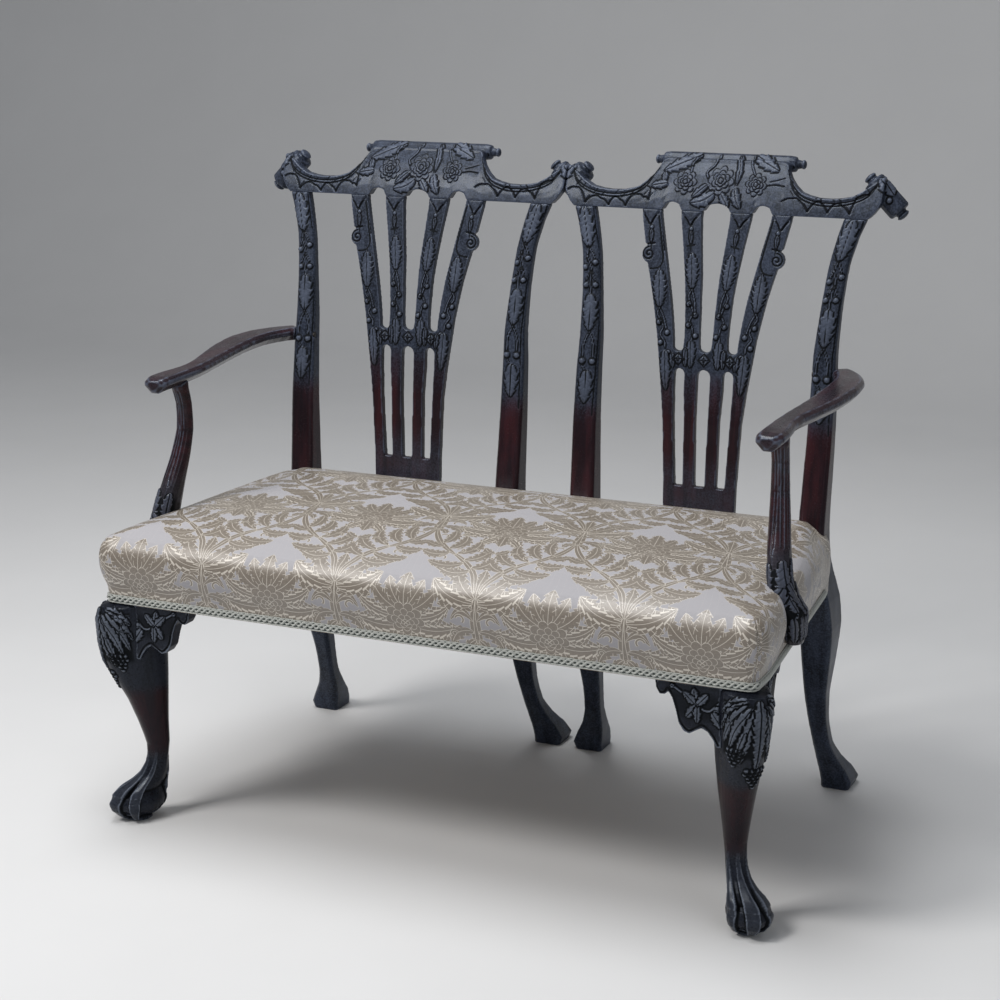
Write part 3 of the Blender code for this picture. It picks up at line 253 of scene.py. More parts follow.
class Carving:  # relief drawn over the front of a piece, in its own plane, in millimetres
    def __init__(self, across, up):
        self.across, self.up = across, up
        # hollow is a share of painted shade, ridge a share of painted highlight
        self.height = np.zeros(len(across))
        self.hollow = np.zeros(len(across))
        self.ridge = np.zeros(len(across))
        self.side = 1

    def draw(self, rows, side=1):  # motifs by name, each with its places and then its sizes
        self.side = side
        for kind, numbers, *sizes in rows:
            getattr(self, kind)([(side * x, z) for x, z in pairs(numbers)], *sizes)

    def near(self, points, reach):
        points = np.array(points)
        low, high = points.min(axis=0) - reach, points.max(axis=0) + reach
        inside = (self.across > low[0]) & (self.across < high[0])
        return np.nonzero(inside & (self.up > low[1]) & (self.up < high[1]))[0]

    def away(self, picked, points):
        x, y = self.across[picked], self.up[picked]
        best = np.full(len(picked), np.inf)
        for a, b in zip(points, points[1:]):
            run = np.array(b) - np.array(a)
            t = np.clip(((x - a[0]) * run[0] + (y - a[1]) * run[1]) / max(run @ run, 1e-6), 0, 1)
            best = np.minimum(best, np.hypot(x - a[0] - t * run[0], y - a[1] - t * run[1]))
        return best

    # raises the relief and gives its top a share of painted highlight
    def rise(self, picked, height, ridge):
        self.height[picked] = np.maximum(self.height[picked], height)
        self.ridge[picked] = np.maximum(self.ridge[picked], ridge)

    # sinks the relief and paints shade in it
    def sink(self, picked, share, depth):
        self.height[picked] -= share * depth
        self.hollow[picked] = np.maximum(self.hollow[picked], share)

    def moat(self, picked, away, inner, outer, depth, share=1.0):  # the ground cut down round a motif, with painted shade laid in the cut
        ring = smoothstep(*inner, away) * (1 - smoothstep(*outer, away))
        self.sink(picked, ring * share, depth)

    def darken(self, low, high, reach, share):  # the sunk ground between leaves, set lower and given painted shade
        inside = (self.up > low) & (self.up < high) & (np.abs(self.across) < reach)
        picked = np.nonzero(inside & (self.height < 0.4))[0]
        edge = np.minimum(self.up[picked] - low, high - self.up[picked])
        edge = np.minimum(edge, reach - np.abs(self.across[picked]))
        self.sink(picked, share * smoothstep(0, 18, edge), 0.5)

    def cutLine(self, points, width=1.3, depth=0.7, dark=1.0, smooth=True):
        width, depth = width * 1.35, depth * 1.5
        points = throughPoints(points) if smooth else points
        picked = self.near(points, width)
        if len(picked):
            share = 1 - smoothstep(width * 0.25, width, self.away(picked, points))
            # the cut is sunk and takes painted shade, scaled by dark
            self.height[picked] -= share * depth
            self.hollow[picked] = np.maximum(self.hollow[picked], share * dark)

    def tongue(self, points):  # the crest's face carried down over a rib, to a point
        low = min(points, key=lambda point: point[1])
        picked = self.near(points, 2)
        first, last = min(points[0], points[-1]), max(points[0], points[-1])
        high = (self.up[picked] - low[1]) / (first[1] - low[1])
        half = np.where(self.across[picked] < low[0], low[0] - first[0], last[0] - low[0])
        inside = half * np.clip(high, 0, 1) ** 1.25 - np.abs(self.across[picked] - low[0])
        self.height[picked] += 1.2 * smoothstep(-0.3, 0.5, inside) * (high > 0)

    def stem(self, points, width=1.6, lift=1.8):
        points = throughPoints(points)
        picked = self.near(points, width * 2.2)
        if not len(picked):
            return
        away = self.away(picked, points)
        self.moat(picked, away, (width * 0.7, width), (width * 1.4, width * 2.2), 1.0)
        body = np.sqrt(np.clip(1 - (away / width) ** 2, 0, 1))
        self.rise(picked, lift * body, body * 0.8)

    def berry(self, points, radius=4.0, lift=3.4):
        picked = self.near(points, radius * 1.6)
        if not len(picked):
            return
        x, y = self.across[picked] - points[0][0], self.up[picked] - points[0][1]
        away = np.hypot(x, y)
        low = 0.55 + 0.45 * np.clip(-y / np.maximum(away, 0.001), 0, 1)
        self.moat(picked, away, (radius * 0.8, radius), (radius * 1.25, radius * 1.6), 1.3, low)
        body = np.sqrt(np.clip(1 - (away / radius) ** 2, 0, 1))
        self.rise(picked, lift * body, body)

    def leaf(self, points, half, teeth=5, blunt=0.8, lean=0.0, lift=2.6):
        half, lean = half * 1.12, lean * self.side
        base, tip = np.array(points, float)
        run = tip - base
        length = math.hypot(*run)
        picked = self.near(points, half + abs(lean) + 2)
        if not len(picked):
            return
        x, y = self.across[picked] - base[0], self.up[picked] - base[1]
        t = (x * run[0] + y * run[1]) / length**2
        inner = np.clip(t, 0, 1)
        side = (y * run[0] - x * run[1]) / length - lean * np.sin(np.pi * inner)
        saw = (inner * teeth) % 1.0
        width = half * np.sin(np.pi * inner**blunt) ** 0.6 * (1.0 - 0.34 * saw * (inner > 0.06))
        edge = np.where((t > 0) & (t < 1), np.abs(side) - width, 10)
        share = np.clip(1 - np.abs(side) / np.maximum(width, 0.01), 0, 1)
        veins = np.maximum(0, np.cos(2 * np.pi * (inner * teeth - np.abs(side) / half * 0.75))) ** 6
        midrib = bell(side, 0, 0.7)
        body = (0.45 + 0.55 * np.sqrt(share)) * smoothstep(0.0, 0.9, -edge)
        body = body * (1 - 0.20 * veins * (edge < 0)) * (1 - 0.5 * midrib)
        self.moat(picked, edge, (-0.3, 0.3), (1.4, 2.7), 1.4)
        # painted shade in the midrib and veins
        vein = (edge < -1.0) * (0.75 * midrib + 0.28 * veins * (share < 0.8))
        self.hollow[picked] = np.where(edge < -0.3, vein, self.hollow[picked])
        self.rise(picked, lift * body, body * (edge < 0))

    def rose(self, points, radius, turn=0.0):
        picked = self.near(points, radius * 1.1)
        if not len(picked):
            return
        x, y = self.across[picked] - points[0][0], self.up[picked] - points[0][1]
        away, angle = np.hypot(x, y), np.arctan2(y, x) + turn
        for share, petals, lift in ((1.0, 8, 1.0), (0.68, 6, 1.8), (0.42, 5, 2.6), (0.2, 4, 3.2)):
            wave = 1 - np.abs(np.sin(angle * petals / 2 + share * 5))
            rim = radius * share * (1 - 0.26 * wave**1.3)
            inside = 1 - smoothstep(-0.6, 0.2, away - rim)
            cup = 0.72 + 0.28 * smoothstep(0.6, 1.0, away / np.maximum(rim, 0.001))
            self.rise(picked, lift * inside * cup, inside * 0.45 * cup)
            # painted shade in a ring round each row of petals
            self.sink(picked, bell(away, rim + 0.3, 0.9) * 0.85, 1.1)

    def rosette(self, points, half):
        picked = self.near(points, half * 1.6)
        if not len(picked):
            return
        x, y = self.across[picked] - points[0][0], self.up[picked] - points[0][1]
        diamond = np.abs(x) + np.abs(y)
        self.moat(picked, diamond, (half * 1.05, half * 1.2), (half * 1.35, half * 1.6), 1.0)
        inside = 1 - smoothstep(half * 0.95, half * 1.1, diamond)
        cross = np.minimum(np.abs(x), np.abs(y)) / half
        self.rise(picked, 2.2 * inside * (0.5 + smoothstep(0.02, 0.25, cross) * 0.5), inside * 0.7)
        # painted shade along the cross that parts the four petals
        self.sink(picked, inside * (1 - smoothstep(0.02, 0.10, cross)) * 0.8, 0.8)
        self.berry(points, half * 0.32, 2.6)

    def spiral(self, points, radius, turns, steps=20):
        line = []
        for i in range(int(turns * steps) + 1):
            angle = math.pi / 2 - self.side * 2 * math.pi * i / steps
            reach = radius * (1 - 0.86 * i / (turns * steps))
            line.append((points[0][0] + reach * math.cos(angle), points[0][1] + reach * math.sin(angle)))
        self.cutLine(line, 1.2, 1.0, smooth=False)


def meshOf(name, piece):
    shape = bmesh.new()
    shape.from_mesh(piece)
    bmesh.ops.remove_doubles(shape, verts=shape.verts, dist=0.00002)
    mesh = bpy.data.meshes.new(name)
    shape.to_mesh(mesh)
    shape.free()
    return mesh


def placed(name, mesh, material):
    made = bpy.data.objects.new(name, mesh)
    bpy.context.scene.collection.objects.link(made)
    mesh.materials.clear()
    mesh.materials.append(material)
    return made


def applied(piece):  # bakes the piece's modifiers into its mesh
    graph = bpy.context.evaluated_depsgraph_get()
    mesh = bpy.data.meshes.new_from_object(piece.evaluated_get(graph))
    piece.modifiers.clear()
    old = piece.data
    piece.data = mesh
    bpy.data.meshes.remove(old)
    return piece


def read(rows, field, width=3, kind=float):
    values = np.empty(len(rows) * width, kind)
    rows.foreach_get(field, values)
    return values.reshape(-1, width) if width > 1 else values


def coordinates(mesh):
    return read(mesh.vertices, "co"), read(mesh.vertex_normals, "vector")


def move(mesh, points):
    mesh.vertices.foreach_set("co", points.ravel())
    mesh.update()


def dense(name, node, cell, material, smooth=2):  # a fine copy of a frame solid, its arrises just eased
    made = placed(name, meshOf(name, nodes[node].data), material)
    cover = made.modifiers.new("skin", "REMESH")
    cover.mode = "VOXEL"
    cover.voxel_size = cell
    ease = made.modifiers.new("ease", "SMOOTH")
    ease.iterations = smooth
    ease.factor = 0.5
    return applied(made)


def fair(piece, axis, low, high, spread):  # long curves run smoothly between the frame's stations
    step, slight, thin = 0.002, 0.004, 0.001
    mesh = piece.data
    points, _ = coordinates(mesh)
    along = points[:, axis]
    level = np.arange(low, high, step)
    rows = []
    for place in level:
        near = np.abs(along - place) < step
        rows.append((points[near].min(axis=0), points[near].max(axis=0)))
    rows = np.array(rows)
    middles, halves = rows.mean(axis=1), (rows[:, 1] - rows[:, 0]) / 2
    reach = int(3 * spread / step)

    def mixed(table, width):  # a measure along the piece, each level mixed with those about it
        weights = np.exp(-0.5 * (np.arange(-reach, reach + 1) * step / width) ** 2)
        padded = np.pad(table, reach, mode="reflect", reflect_type="odd")
        return np.interp(along, level, np.convolve(padded, weights / weights.sum(), mode="valid"))

    share = smoothstep(low, low + 2 * spread, along) * (1 - smoothstep(high - 2 * spread, high, along))
    for i in {0, 1, 2} - {axis}:
        stretch = mixed(halves[:, i], spread) / np.maximum(mixed(halves[:, i], slight), thin)
        away = points[:, i] - mixed(middles[:, i], slight)
        moved = mixed(middles[:, i], spread) + away * stretch
        points[:, i] += (moved - points[:, i]) * share
    move(mesh, points)


def painted(mesh, name):
    values = np.zeros(len(mesh.vertices), np.float32)
    if name in mesh.attributes:
        mesh.attributes[name].data.foreach_get("value", values)
    return values


def paint(mesh, name, values):
    layer = mesh.attributes.get(name) or mesh.attributes.new(name, "FLOAT", "POINT")
    layer.data.foreach_set("value", np.asarray(values, np.float32))


def bend(mesh, rounds=3):  # above nothing on an outer edge, below it in a hollow
    points, normals = coordinates(mesh)
    ends = read(mesh.edges, "vertices", 2, np.int64)
    one, two = np.concatenate([ends, ends[:, ::-1]]).T
    count = np.maximum(np.bincount(one, minlength=len(points)), 1)
    beside = lambda values: np.bincount(one, values[two], minlength=len(points)) / count
    mean = np.column_stack([beside(points[:, i]) for i in range(3)])
    value = ((points - mean) * normals).sum(axis=1)
    for _ in range(rounds):
        value = (value + beside(value)) / 2
    spans = points[ends[:, 0]] - points[ends[:, 1]]
    return value / math.sqrt(float((spans**2).sum(axis=1).mean()))


# painted highlight on outer edges and painted shade in hollows, found from how the surface bends
def paintedLightAndWear(piece, low, high):
    value = bend(piece.data)
    shares = {"ridge": smoothstep(low, high, value), "hollow": smoothstep(0.05, 0.20, -value) * 0.5}
    for name, share in shares.items():
        paint(piece.data, name, np.maximum(painted(piece.data, name), share))


def carve(piece, draw, faceShare, polish):
    mesh = piece.data
    points, normals = coordinates(mesh)
    across, up, facing = faceShare(points, normals)
    picked = np.nonzero(facing > 0.02)[0]
    relief = Carving(across[picked] * 1000, up[picked] * 1000)
    draw(relief)
    # a first carving also swells the piece a little, so that its seams stay closed
    full = np.full(len(points), 0.0 if "polish" in mesh.attributes else 0.00025)
    full[picked] += relief.height * facing[picked] / 1000
    points += normals * full[:, None]
    move(mesh, points)
    # the painted shade (hollow) and painted highlight (ridge) shares go onto the mesh
    for name, values in (("hollow", relief.hollow), ("ridge", relief.ridge)):
        layer = painted(mesh, name)
        layer[picked] = np.maximum(layer[picked], values * facing[picked])
        paint(mesh, name, layer)
    paint(mesh, "polish", polish(points))
    mesh.shade_smooth()
    return piece


def even(value):  # the same polish all over
    return lambda points: np.full(len(points), value)


def plainPiece(piece, polish):
    mesh = piece.data
    points, _ = coordinates(mesh)
    for name in ("hollow", "ridge"):
        paint(mesh, name, np.zeros(len(points)))
    paint(mesh, "polish", polish(points))
    mesh.shade_smooth()
    return piece


# levels of bend between which outer edges take the painted highlight
paintedLightLevels = {"carved_mahogany": (0.035, 0.13), "polished_mahogany": (0.022, 0.075)}


def ready(piece, slot, *replaced):
    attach(piece, "root")
    # painted highlight on outer edges and painted shade in hollows
    if slot in paintedLightLevels:
        paintedLightAndWear(piece, *paintedLightLevels[slot])
    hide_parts(*replaced)
    return piece


# The chair backs
seamLook = {"ribs": ((0.1040, 0.0190), (0.0385, 0.0180)), "stile": 0.19, "level": 0.9140, "half": 0.0042}


def quietSeam(piece, centre):  # the crest runs on into the ribs, so the painted highlight and painted shade are taken off along its joint with them
    points, _ = coordinates(piece.data)
    across = np.abs(points[:, 0] - centre)
    ribs = across > seamLook["stile"]
    for middle, half in seamLook["ribs"]:
        ribs |= np.abs(across - middle) < half
    seam = ribs & (np.abs(points[:, 2] - seamLook["level"]) < seamLook["half"])
    for name in ("ridge", "hollow"):
        paint(piece.data, name, np.where(seam, 0.0, painted(piece.data, name)))


backs = {"halfPitch": 0.2521, "cell": 0.00133, "postCell": 0.0019}


def frontOfBack(centre, above=0.0):
    def faceShare(points, normals):
        facing = smoothstep(0.40, 0.70, above * normals[:, 2] - normals[:, 1])
        return points[:, 0] - centre, points[:, 2], facing
    return faceShare


# places and sizes in millimetres, across from the middle of a chair back and up from the floor
crestTop = (244.3, 979, 229.4, 957, 200.1, 944.5, 164.4, 941.5, 134.7, 947.5, 117.1, 960)
crestTop += (108.5, 976, 102.5, 989)
crestCusps = (
    (-245.7, 941.3, -232.3, 944.8, -222.7, 940.8, -214.2, 923.5, -201.8, 933.5, -188.9, 930.5, -174.9, 921.6,
     -167, 933.7, -155.7, 928.9, -147.1, 921, -141.1, 933.8, -130.1, 938.6, -118.9, 934.7, -110.7, 931.6,
     -109.5, 946.6, -115.5, 950.7),
    (99.6, 937.8, 116.5, 942.7, 126.7, 940.3, 140.7, 925.4, 152.7, 940, 161.2, 937.5, 171.4, 924.8,
     180.5, 937.5, 192, 936, 205, 924.5, 212.2, 946.5, 230, 952.8, 239.1, 962.8),
)
crestEar = [("leaf", (243, 976, 264, 950), 8.5, 3), ("berry", (258, 944), 4.2)]
crestMotifs = [
    ("leaf", (-40, 996.5, -94.5, 972.5), 9.5, 5),
    ("leaf", (46, 997.5, 88, 978.5), 8.5, 4),
    ("leaf", (-83, 956, -110, 951.5), 6.5, 3),
    ("leaf", (-89.5, 959, -90.5, 973), 5, 2),
    ("stem", (-50, 973, -49.5, 985.5, -41, 995), 1.2),
    ("stem", (-20.9, 966, -24, 974, -15, 984, -11, 996), 1.4),
    ("stem", (52, 972, 44, 985, 42.5, 997), 1.1),
    ("leaf", (21.5, 998, 25, 956), 4.8, 2, 0.8, 3),
    ("leaf", (-6, 945, -44, 929), 10, 3, 0.8, 4),
    ("leaf", (-20, 956, -42, 937), 5.5, 2),
    ("leaf", (3, 945, 18, 924.5), 6.5, 3),
    ("leaf", (24, 953, 36, 923.5), 7.5, 3, 0.8, -2),
    ("cutLine", (74.1, 958.5, 86.9, 960, 100, 958.3), 1.2, 0.8),
    ("cutLine", (77, 964, 88, 966.5, 99, 970), 0.9, 0.6),
    ("rose", (0, 962.5), 20.5),
    ("rose", (-56, 958.8), 18, 0.7),
    ("rose", (56, 958.8), 16.5, 1.6),
]
splatTongues = (
    (120.5, 918, 109.5, 904, 103, 895.5, 98.5, 904, 89, 917.5),
    (55.5, 916, 44.5, 904.5, 38.5, 896.5, 33.5, 905, 22.5, 917),
)
splatMotifs = [  # scroll, then the leaves, crossed stems and berries of the outer and of the inner rib
    ("cutLine", (91.5, 913.1, 85.2, 885.3, 79.4, 856.6, 77.5, 844, 83, 832.8, 97, 829.6)),
    ("cutLine", (88, 913.1, 81.8, 885.3, 76.5, 858), 0.8, 0.6),
    ("spiral", (101.5, 852), 10.5, 1.6),
    ("stem", (82.2, 832.5, 81.5, 818), 1.2),
    ("leaf", (81.5, 829, 77, 772.2), 10.5, 7, 0.9),
    ("stem", (77, 772.2, 79.5, 763, 72, 752, 69, 743, 73, 733, 65.5, 722, 64, 713), 1.3),
    ("stem", (77, 772.2, 70, 760, 64, 742), 1.3),
    ("berry", (76.1, 750.8), 4.1),
    ("berry", (62, 735.7), 4.1),
    ("berry", (71.9, 720.3), 4.1),
    ("berry", (58.4, 705.2), 4.1),
    ("leaf", (64, 708, 59.5, 647), 8.5, 6, 0.7),
    ("leaf", (31.8, 856, 26.8, 802.2), 9.5, 7, 0.9),
    ("stem", (26.8, 802.2, 31, 792, 25, 776, 22.5, 766, 27, 756, 22, 744, 21.5, 733, 23.5, 720), 1.3),
    ("stem", (26.8, 802.2, 21.5, 786, 19, 766), 1.3),
    ("berry", (30, 780.8)),
    ("berry", (18.8, 764.5)),
    ("berry", (28.5, 749)),
    ("berry", (16.8, 733.3)),
    ("leaf", (22.5, 726, 21.5, 684), 7.5, 4, 0.7),
    ("leaf", (31, 714, 30, 685), 4, 2),
    ("leaf", (52, 706, 50, 682), 4.5, 2),
    ("rosette", (41.4, 697.2), 7.4),
]
stileMotifs = [
    ("leaf", (0, 917, -1, 855), 12.4, 5, 0.9),
    ("stem", (-1, 857, 4, 848, 7.5, 840), 1.2),
    ("stem", (-1, 857, -3.5, 843, 1.5, 825, -0.5, 808, 0, 784), 1.3),
    ("stem", (-3.5, 843, -7.5, 833), 1.1),
    ("stem", (1.5, 820, 7, 808), 1.1),
    ("stem", (0, 819, -7, 807), 1.1),
    ("berry", (-8, 826.5), 4.1),
    ("berry", (8.2, 834.5), 4.1),
    ("berry", (-7.8, 799.5), 4.1),
    ("berry", (7.4, 800.5), 4.1),
    ("leaf", (0, 787, -0.5, 730), 12.2, 5, 0.85),
    ("stem", (-0.5, 730, 5.5, 718, 8.5, 704, 8, 690), 1.3),
    ("stem", (0.5, 730, -5.5, 718, -9, 704, -8.5, 690), 1.3),
    ("berry", (-8.5, 684.5), 5, 3),
    ("berry", (8, 684.5), 5, 3),
    ("stem", (-8.5, 678, -3, 669, -1, 664), 1.2),
    ("leaf", (0, 670, -0.5, 618), 11.6, 4),
    ("cutLine", (14.2, 600, 14.2, 615), 0.7, 0.4),
    ("cutLine", (14.2, 600, 14.2, 930), 0.7, 0.4),
]


def drawCrest(relief):
    for side in (-1, 1):
        for inward, down, width, depth in ((0, 3.5, 1.0, 0.8), (0.6, 7.5, 1.2, 1.0)):
            relief.cutLine([(side * (x - inward), z - down) for x, z in pairs(crestTop)], width, depth)
    for side in (-1, 1):
        relief.draw(crestEar, side)
    for row in map(pairs, crestCusps):
        for a, b in zip(row, row[1:]):
            relief.cutLine([a, ((a[0] + b[0]) / 2, (a[1] + b[1]) / 2 + 1.6), b], 1.3, 1.0)
        for x, z in row[1:-1]:
            relief.cutLine([(x, z + 3.5), (x - math.copysign(6, x), z + 10.5)], 0.7, 0.4)
    relief.draw(crestMotifs)


def drawSplat(relief):
    for side in (-1, 1):
        for points in splatTongues:
            relief.draw([("tongue", points), ("cutLine", points, 1.4, 1.1)], side)
        for x, low in ((100, 99), (36.5, 35)):  # bead, husk and dash under each cusp
            relief.draw([
                ("berry", (x, 891.5), 3.1, 1.8),
                ("leaf", (x, 888, low, 869), 3, 1),
                ("cutLine", (low - 5.8, 868.4, low, 867.2, low + 5.8, 866.2), 1.4, 1.1),
                ("cutLine", (low, 867.2, low - 0.6, 860), 0.9, 0.7),
            ], side)
        relief.draw(splatMotifs, side)
    relief.draw([("rosette", (0, 697.5), 7.4)])


def drawStile(relief):
    relief.draw(stileMotifs)


def between(z, rise, fall):  # up over one stretch and down over another
    return smoothstep(*rise, z) * (1 - smoothstep(*fall, z))


def postPolish(points):
    return 0.8 * between(points[:, 2], (0.40, 0.46), (0.58, 0.65)) + 0.1


def splatPolish(points):
    red = 1 - smoothstep(0.655, 0.70, points[:, 2])
    return red * (0.55 + 0.45 * bell(points[:, 2], 0.58, 0.05))


stileLine = (
    [0.46, 0.59, 0.68, 0.72, 0.79, 0.85, 0.92],
    [0.190, 0.190, 0.188, 0.187, 0.190, 0.197, 0.2145],
)


def stileFront(centre, side):
    def faceShare(points, normals):
        across = (points[:, 0] - centre) - side * np.interp(points[:, 2], *stileLine)
        return across, points[:, 2], smoothstep(0.45, 0.75, -normals[:, 1]) * (points[:, 2] > 0.6)
    return faceShare


for label, centre in (("left", -backs["halfPitch"]), ("right", backs["halfPitch"])):
    crest = dense(label + "CarvedCrest", "crest_rail_" + label, backs["cell"], carvedWood, 1)
    carve(crest, drawCrest, frontOfBack(centre, 0.6), even(0.0))
    ready(crest, "carved_mahogany", "crest_rail_" + label)
    quietSeam(crest, centre)
    splat = dense(label + "CarvedSplat", "splat_" + label, backs["cell"], carvedWood, 1)
    carve(splat, drawSplat, frontOfBack(centre), splatPolish)
    ready(splat, "carved_mahogany", "splat_" + label)
    quietSeam(splat, centre)
    for place in ("inner", "outer"):
        node = "%s_%s_rear_post" % (label, place)
        side = (1 if place == "outer" else -1) * (1 if centre > 0 else -1)
        post = dense(label + place.capitalize() + "Post", node, backs["postCell"], carvedWood)
        fair(post, 2, 0.02, 0.90, 0.013)
        carve(post, drawStile, stileFront(centre, side), postPolish)
        ready(post, "carved_mahogany", node)
print("chair backs carved")

# Arms, supports and legs; the supports and legs carved round their own centre lines
def centreLine(points, step=0.004):
    level = np.arange(points[:, 2].min(), points[:, 2].max() + step, step)
    spots = []
    for z in level:
        near = np.abs(points[:, 2] - z) < step
        low, high = points[near].min(axis=0), points[near].max(axis=0)
        spots.append((low[:2] + high[:2]) / 2)
    spots = np.array(spots)
    return np.array([np.interp(points[:, 2], level, spots[:, i]) for i in range(2)]).T


def roundAbout(side, front, scale, low, high):  # angle from a direction, as a length at a nominal radius
    def faceShare(points, normals):
        away = points[:, :2] - centreLine(points)
        turn = np.degrees(np.arctan2(away[:, 1], away[:, 0] * side)) - front
        turn = (turn + 180) % 360 - 180
        upright = 1 - smoothstep(0.75, 0.95, np.abs(normals[:, 2]))
        inside = (points[:, 2] > low) & (points[:, 2] < high)
        return np.radians(turn) * scale, points[:, 2], upright * inside
    return faceShare


footLook = {
    "radius": 0.040,
    "toes": (-68, -16, 37, 164),
    "toeHalf": ([0, 10, 28, 46, 62, 85, 115], [9, 12, 15, 18, 17, 13, 9]),
    "ball": 26,
    "ballHalf": 22,
    "ballTop": 50,
    "dip": ([50, 62, 85, 125], [8.5, 4.2, 2.4, 0.0]),
    "top": 125,
}
kneeLeaves = [
    ("leaf", (14, 354, 58, 330), 8, 4, 0.8, 3, 2.8),
    ("leaf", (16, 350, 58, 306), 8.5, 5, 0.8, 4, 2.8),
    ("leaf", (14, 347, 50, 288), 8, 5, 0.8, 5, 2.8),
    ("leaf", (9, 345, 36, 282), 7.5, 6, 0.8, 4, 3),
    ("leaf", (5, 342, 19, 262), 7.2, 7, 0.8, 2, 3),
    ("leaf", (16, 312, 24, 276), 4.5, 4, 0.8, 0, 3),
]
supportMotifs = [("cutLine", (u, 652, u, 500), 2.4, 0.9, 0.10) for u in (-15, 0, 15)]
supportMotifs += [
    ("leaf", (0, 505, 1, 430), 11, 7),
    ("leaf", (-4, 470, -22, 420), 9.5, 5, 0.8, -3),
    ("leaf", (4, 475, 23, 425), 9.5, 5, 0.8, 3),
    ("leaf", (20, 505, 18, 462), 7, 5),
    ("leaf", (-20, 500, -19, 458), 7, 5),
    ("stem", (0, 432, -8, 418, 6, 402, 0, 386)),
]
supportMotifs += [("leaf", (u, 428, u * 1.05, 384), 6.2, 4, 0.8, 0, 2.2) for u in (-30, -18, -6, 6, 18, 30)]
supportMotifs += [("leaf", (u, 470, u + math.copysign(4, u), 410), 8, 6) for u in (38, -38)]
bracketEdge = (366.5, 359, 369, 349, 374, 343.5, 380, 345, 385, 351, 396, 331)
bracketEdge += (402, 308, 414, 294.5, 425, 300, 434, 305, 447, 296, 457, 279)
vineMotifs = [
    ("cutLine", bracketEdge, 1.4, 1.2),
    ("stem", (394, 354, 410, 344, 426, 332, 443, 326, 461, 341, 493, 350), 1.8),
    ("leaf", (426, 332, 420.5, 357), 6, 3),
    ("leaf", (425.5, 332, 406, 350), 6, 3),
    ("leaf", (426, 331, 411, 313), 7, 4),
    ("leaf", (427, 331, 427, 306), 5.5, 3),
    ("leaf", (427, 333, 442, 350), 6, 3),
    ("leaf", (394, 354, 387, 357), 3.5, 2),
    ("leaf", (450, 330, 478, 324), 8, 4),
    ("leaf", (460, 339, 486, 344), 7, 4),
    ("leaf", (448, 325, 464, 302), 7.5, 4),
]


def grapes(relief, u, z, rows, size=3.7):
    for row in range(rows):
        count = max(1, rows - row if row > 0 else rows - 1)
        for i in range(count):
            along = (i - (count - 1) / 2) * size * 1.75 + 0.6 * (-1) ** row
            relief.berry([(u + along, z - row * size * 1.55)], size, 3.2)


def drawKnee(relief):
    for side in (-1, 1):
        relief.draw(kneeLeaves, side)
        grapes(relief, side * 29, 281, 5)
    relief.draw([("leaf", (0, 354, 0, 252), 7.8, 9, 0.7, 0, 3.6)])
    grapes(relief, 3, 252, 6)
    relief.darken(262, 356, 62, 0.62)


def drawFoot(relief):  # a ball held by three toes in front and one behind
    turn = np.degrees(relief.across / (1000 * footLook["radius"]))
    z = relief.up
    away = np.full(len(turn), 180.0)
    for toe in footLook["toes"]:
        away = np.minimum(away, np.abs((turn - toe + 180) % 360 - 180))
    half = np.interp(z, *footLook["toeHalf"])
    toe = 1 - smoothstep(0.86, 1.06, away / half)
    ballDip = 4.0 + 5.0 * np.clip(((z - footLook["ball"]) / footLook["ballHalf"]) ** 2, 0, 1.2)
    dip = np.where(z < footLook["ballTop"], ballDip, np.interp(z, *footLook["dip"]))
    knuckle = 2.0 * bell(z, 50, 9) + 1.4 * bell(z, 26, 7) - 1.0 * (np.abs(z - 38) < 4)
    relief.height += np.where(z < footLook["top"], knuckle * toe - dip * (1 - toe), 0)
    # painted shade in the seams round the toes and under the ball's lid; painted highlight on the toes
    seam = bell(away, half * 1.10, 2.4) * (z < 66)
    lid = bell(z, 51, 2.2) * (1 - toe)
    relief.hollow = np.maximum(relief.hollow, np.maximum(seam, lid * 0.9))
    relief.ridge = np.maximum(relief.ridge, toe * (z < 110) * 0.35)


def drawSupport(relief):
    relief.draw(supportMotifs)
    relief.darken(380, 500, 46, 0.55)


def drawVine(relief):
    relief.draw(vineMotifs)
    relief.darken(300, 360, 470, 0.35)


flatLook = {"sideFrom": 0.1913, "facing": (0.70, 0.92), "low": 0.27}


def flatFront(side):
    def faceShare(points, normals):
        facing = smoothstep(*flatLook["facing"], -normals[:, 1])
        return points[:, 0] * side, points[:, 2], facing * (points[:, 2] > flatLook["low"])
    return faceShare


def flatSide(side):
    def faceShare(points, normals):
        facing = smoothstep(*flatLook["facing"], normals[:, 0] * side)
        return flatLook["sideFrom"] - points[:, 1], points[:, 2], facing * (points[:, 2] > flatLook["low"])
    return faceShare


def legPolish(points):
    return 0.9 * between(points[:, 2], (0.09, 0.13), (0.20, 0.235)) + 0.15


def supportPolish(points):
    return 0.85 * smoothstep(0.49, 0.54, points[:, 2])


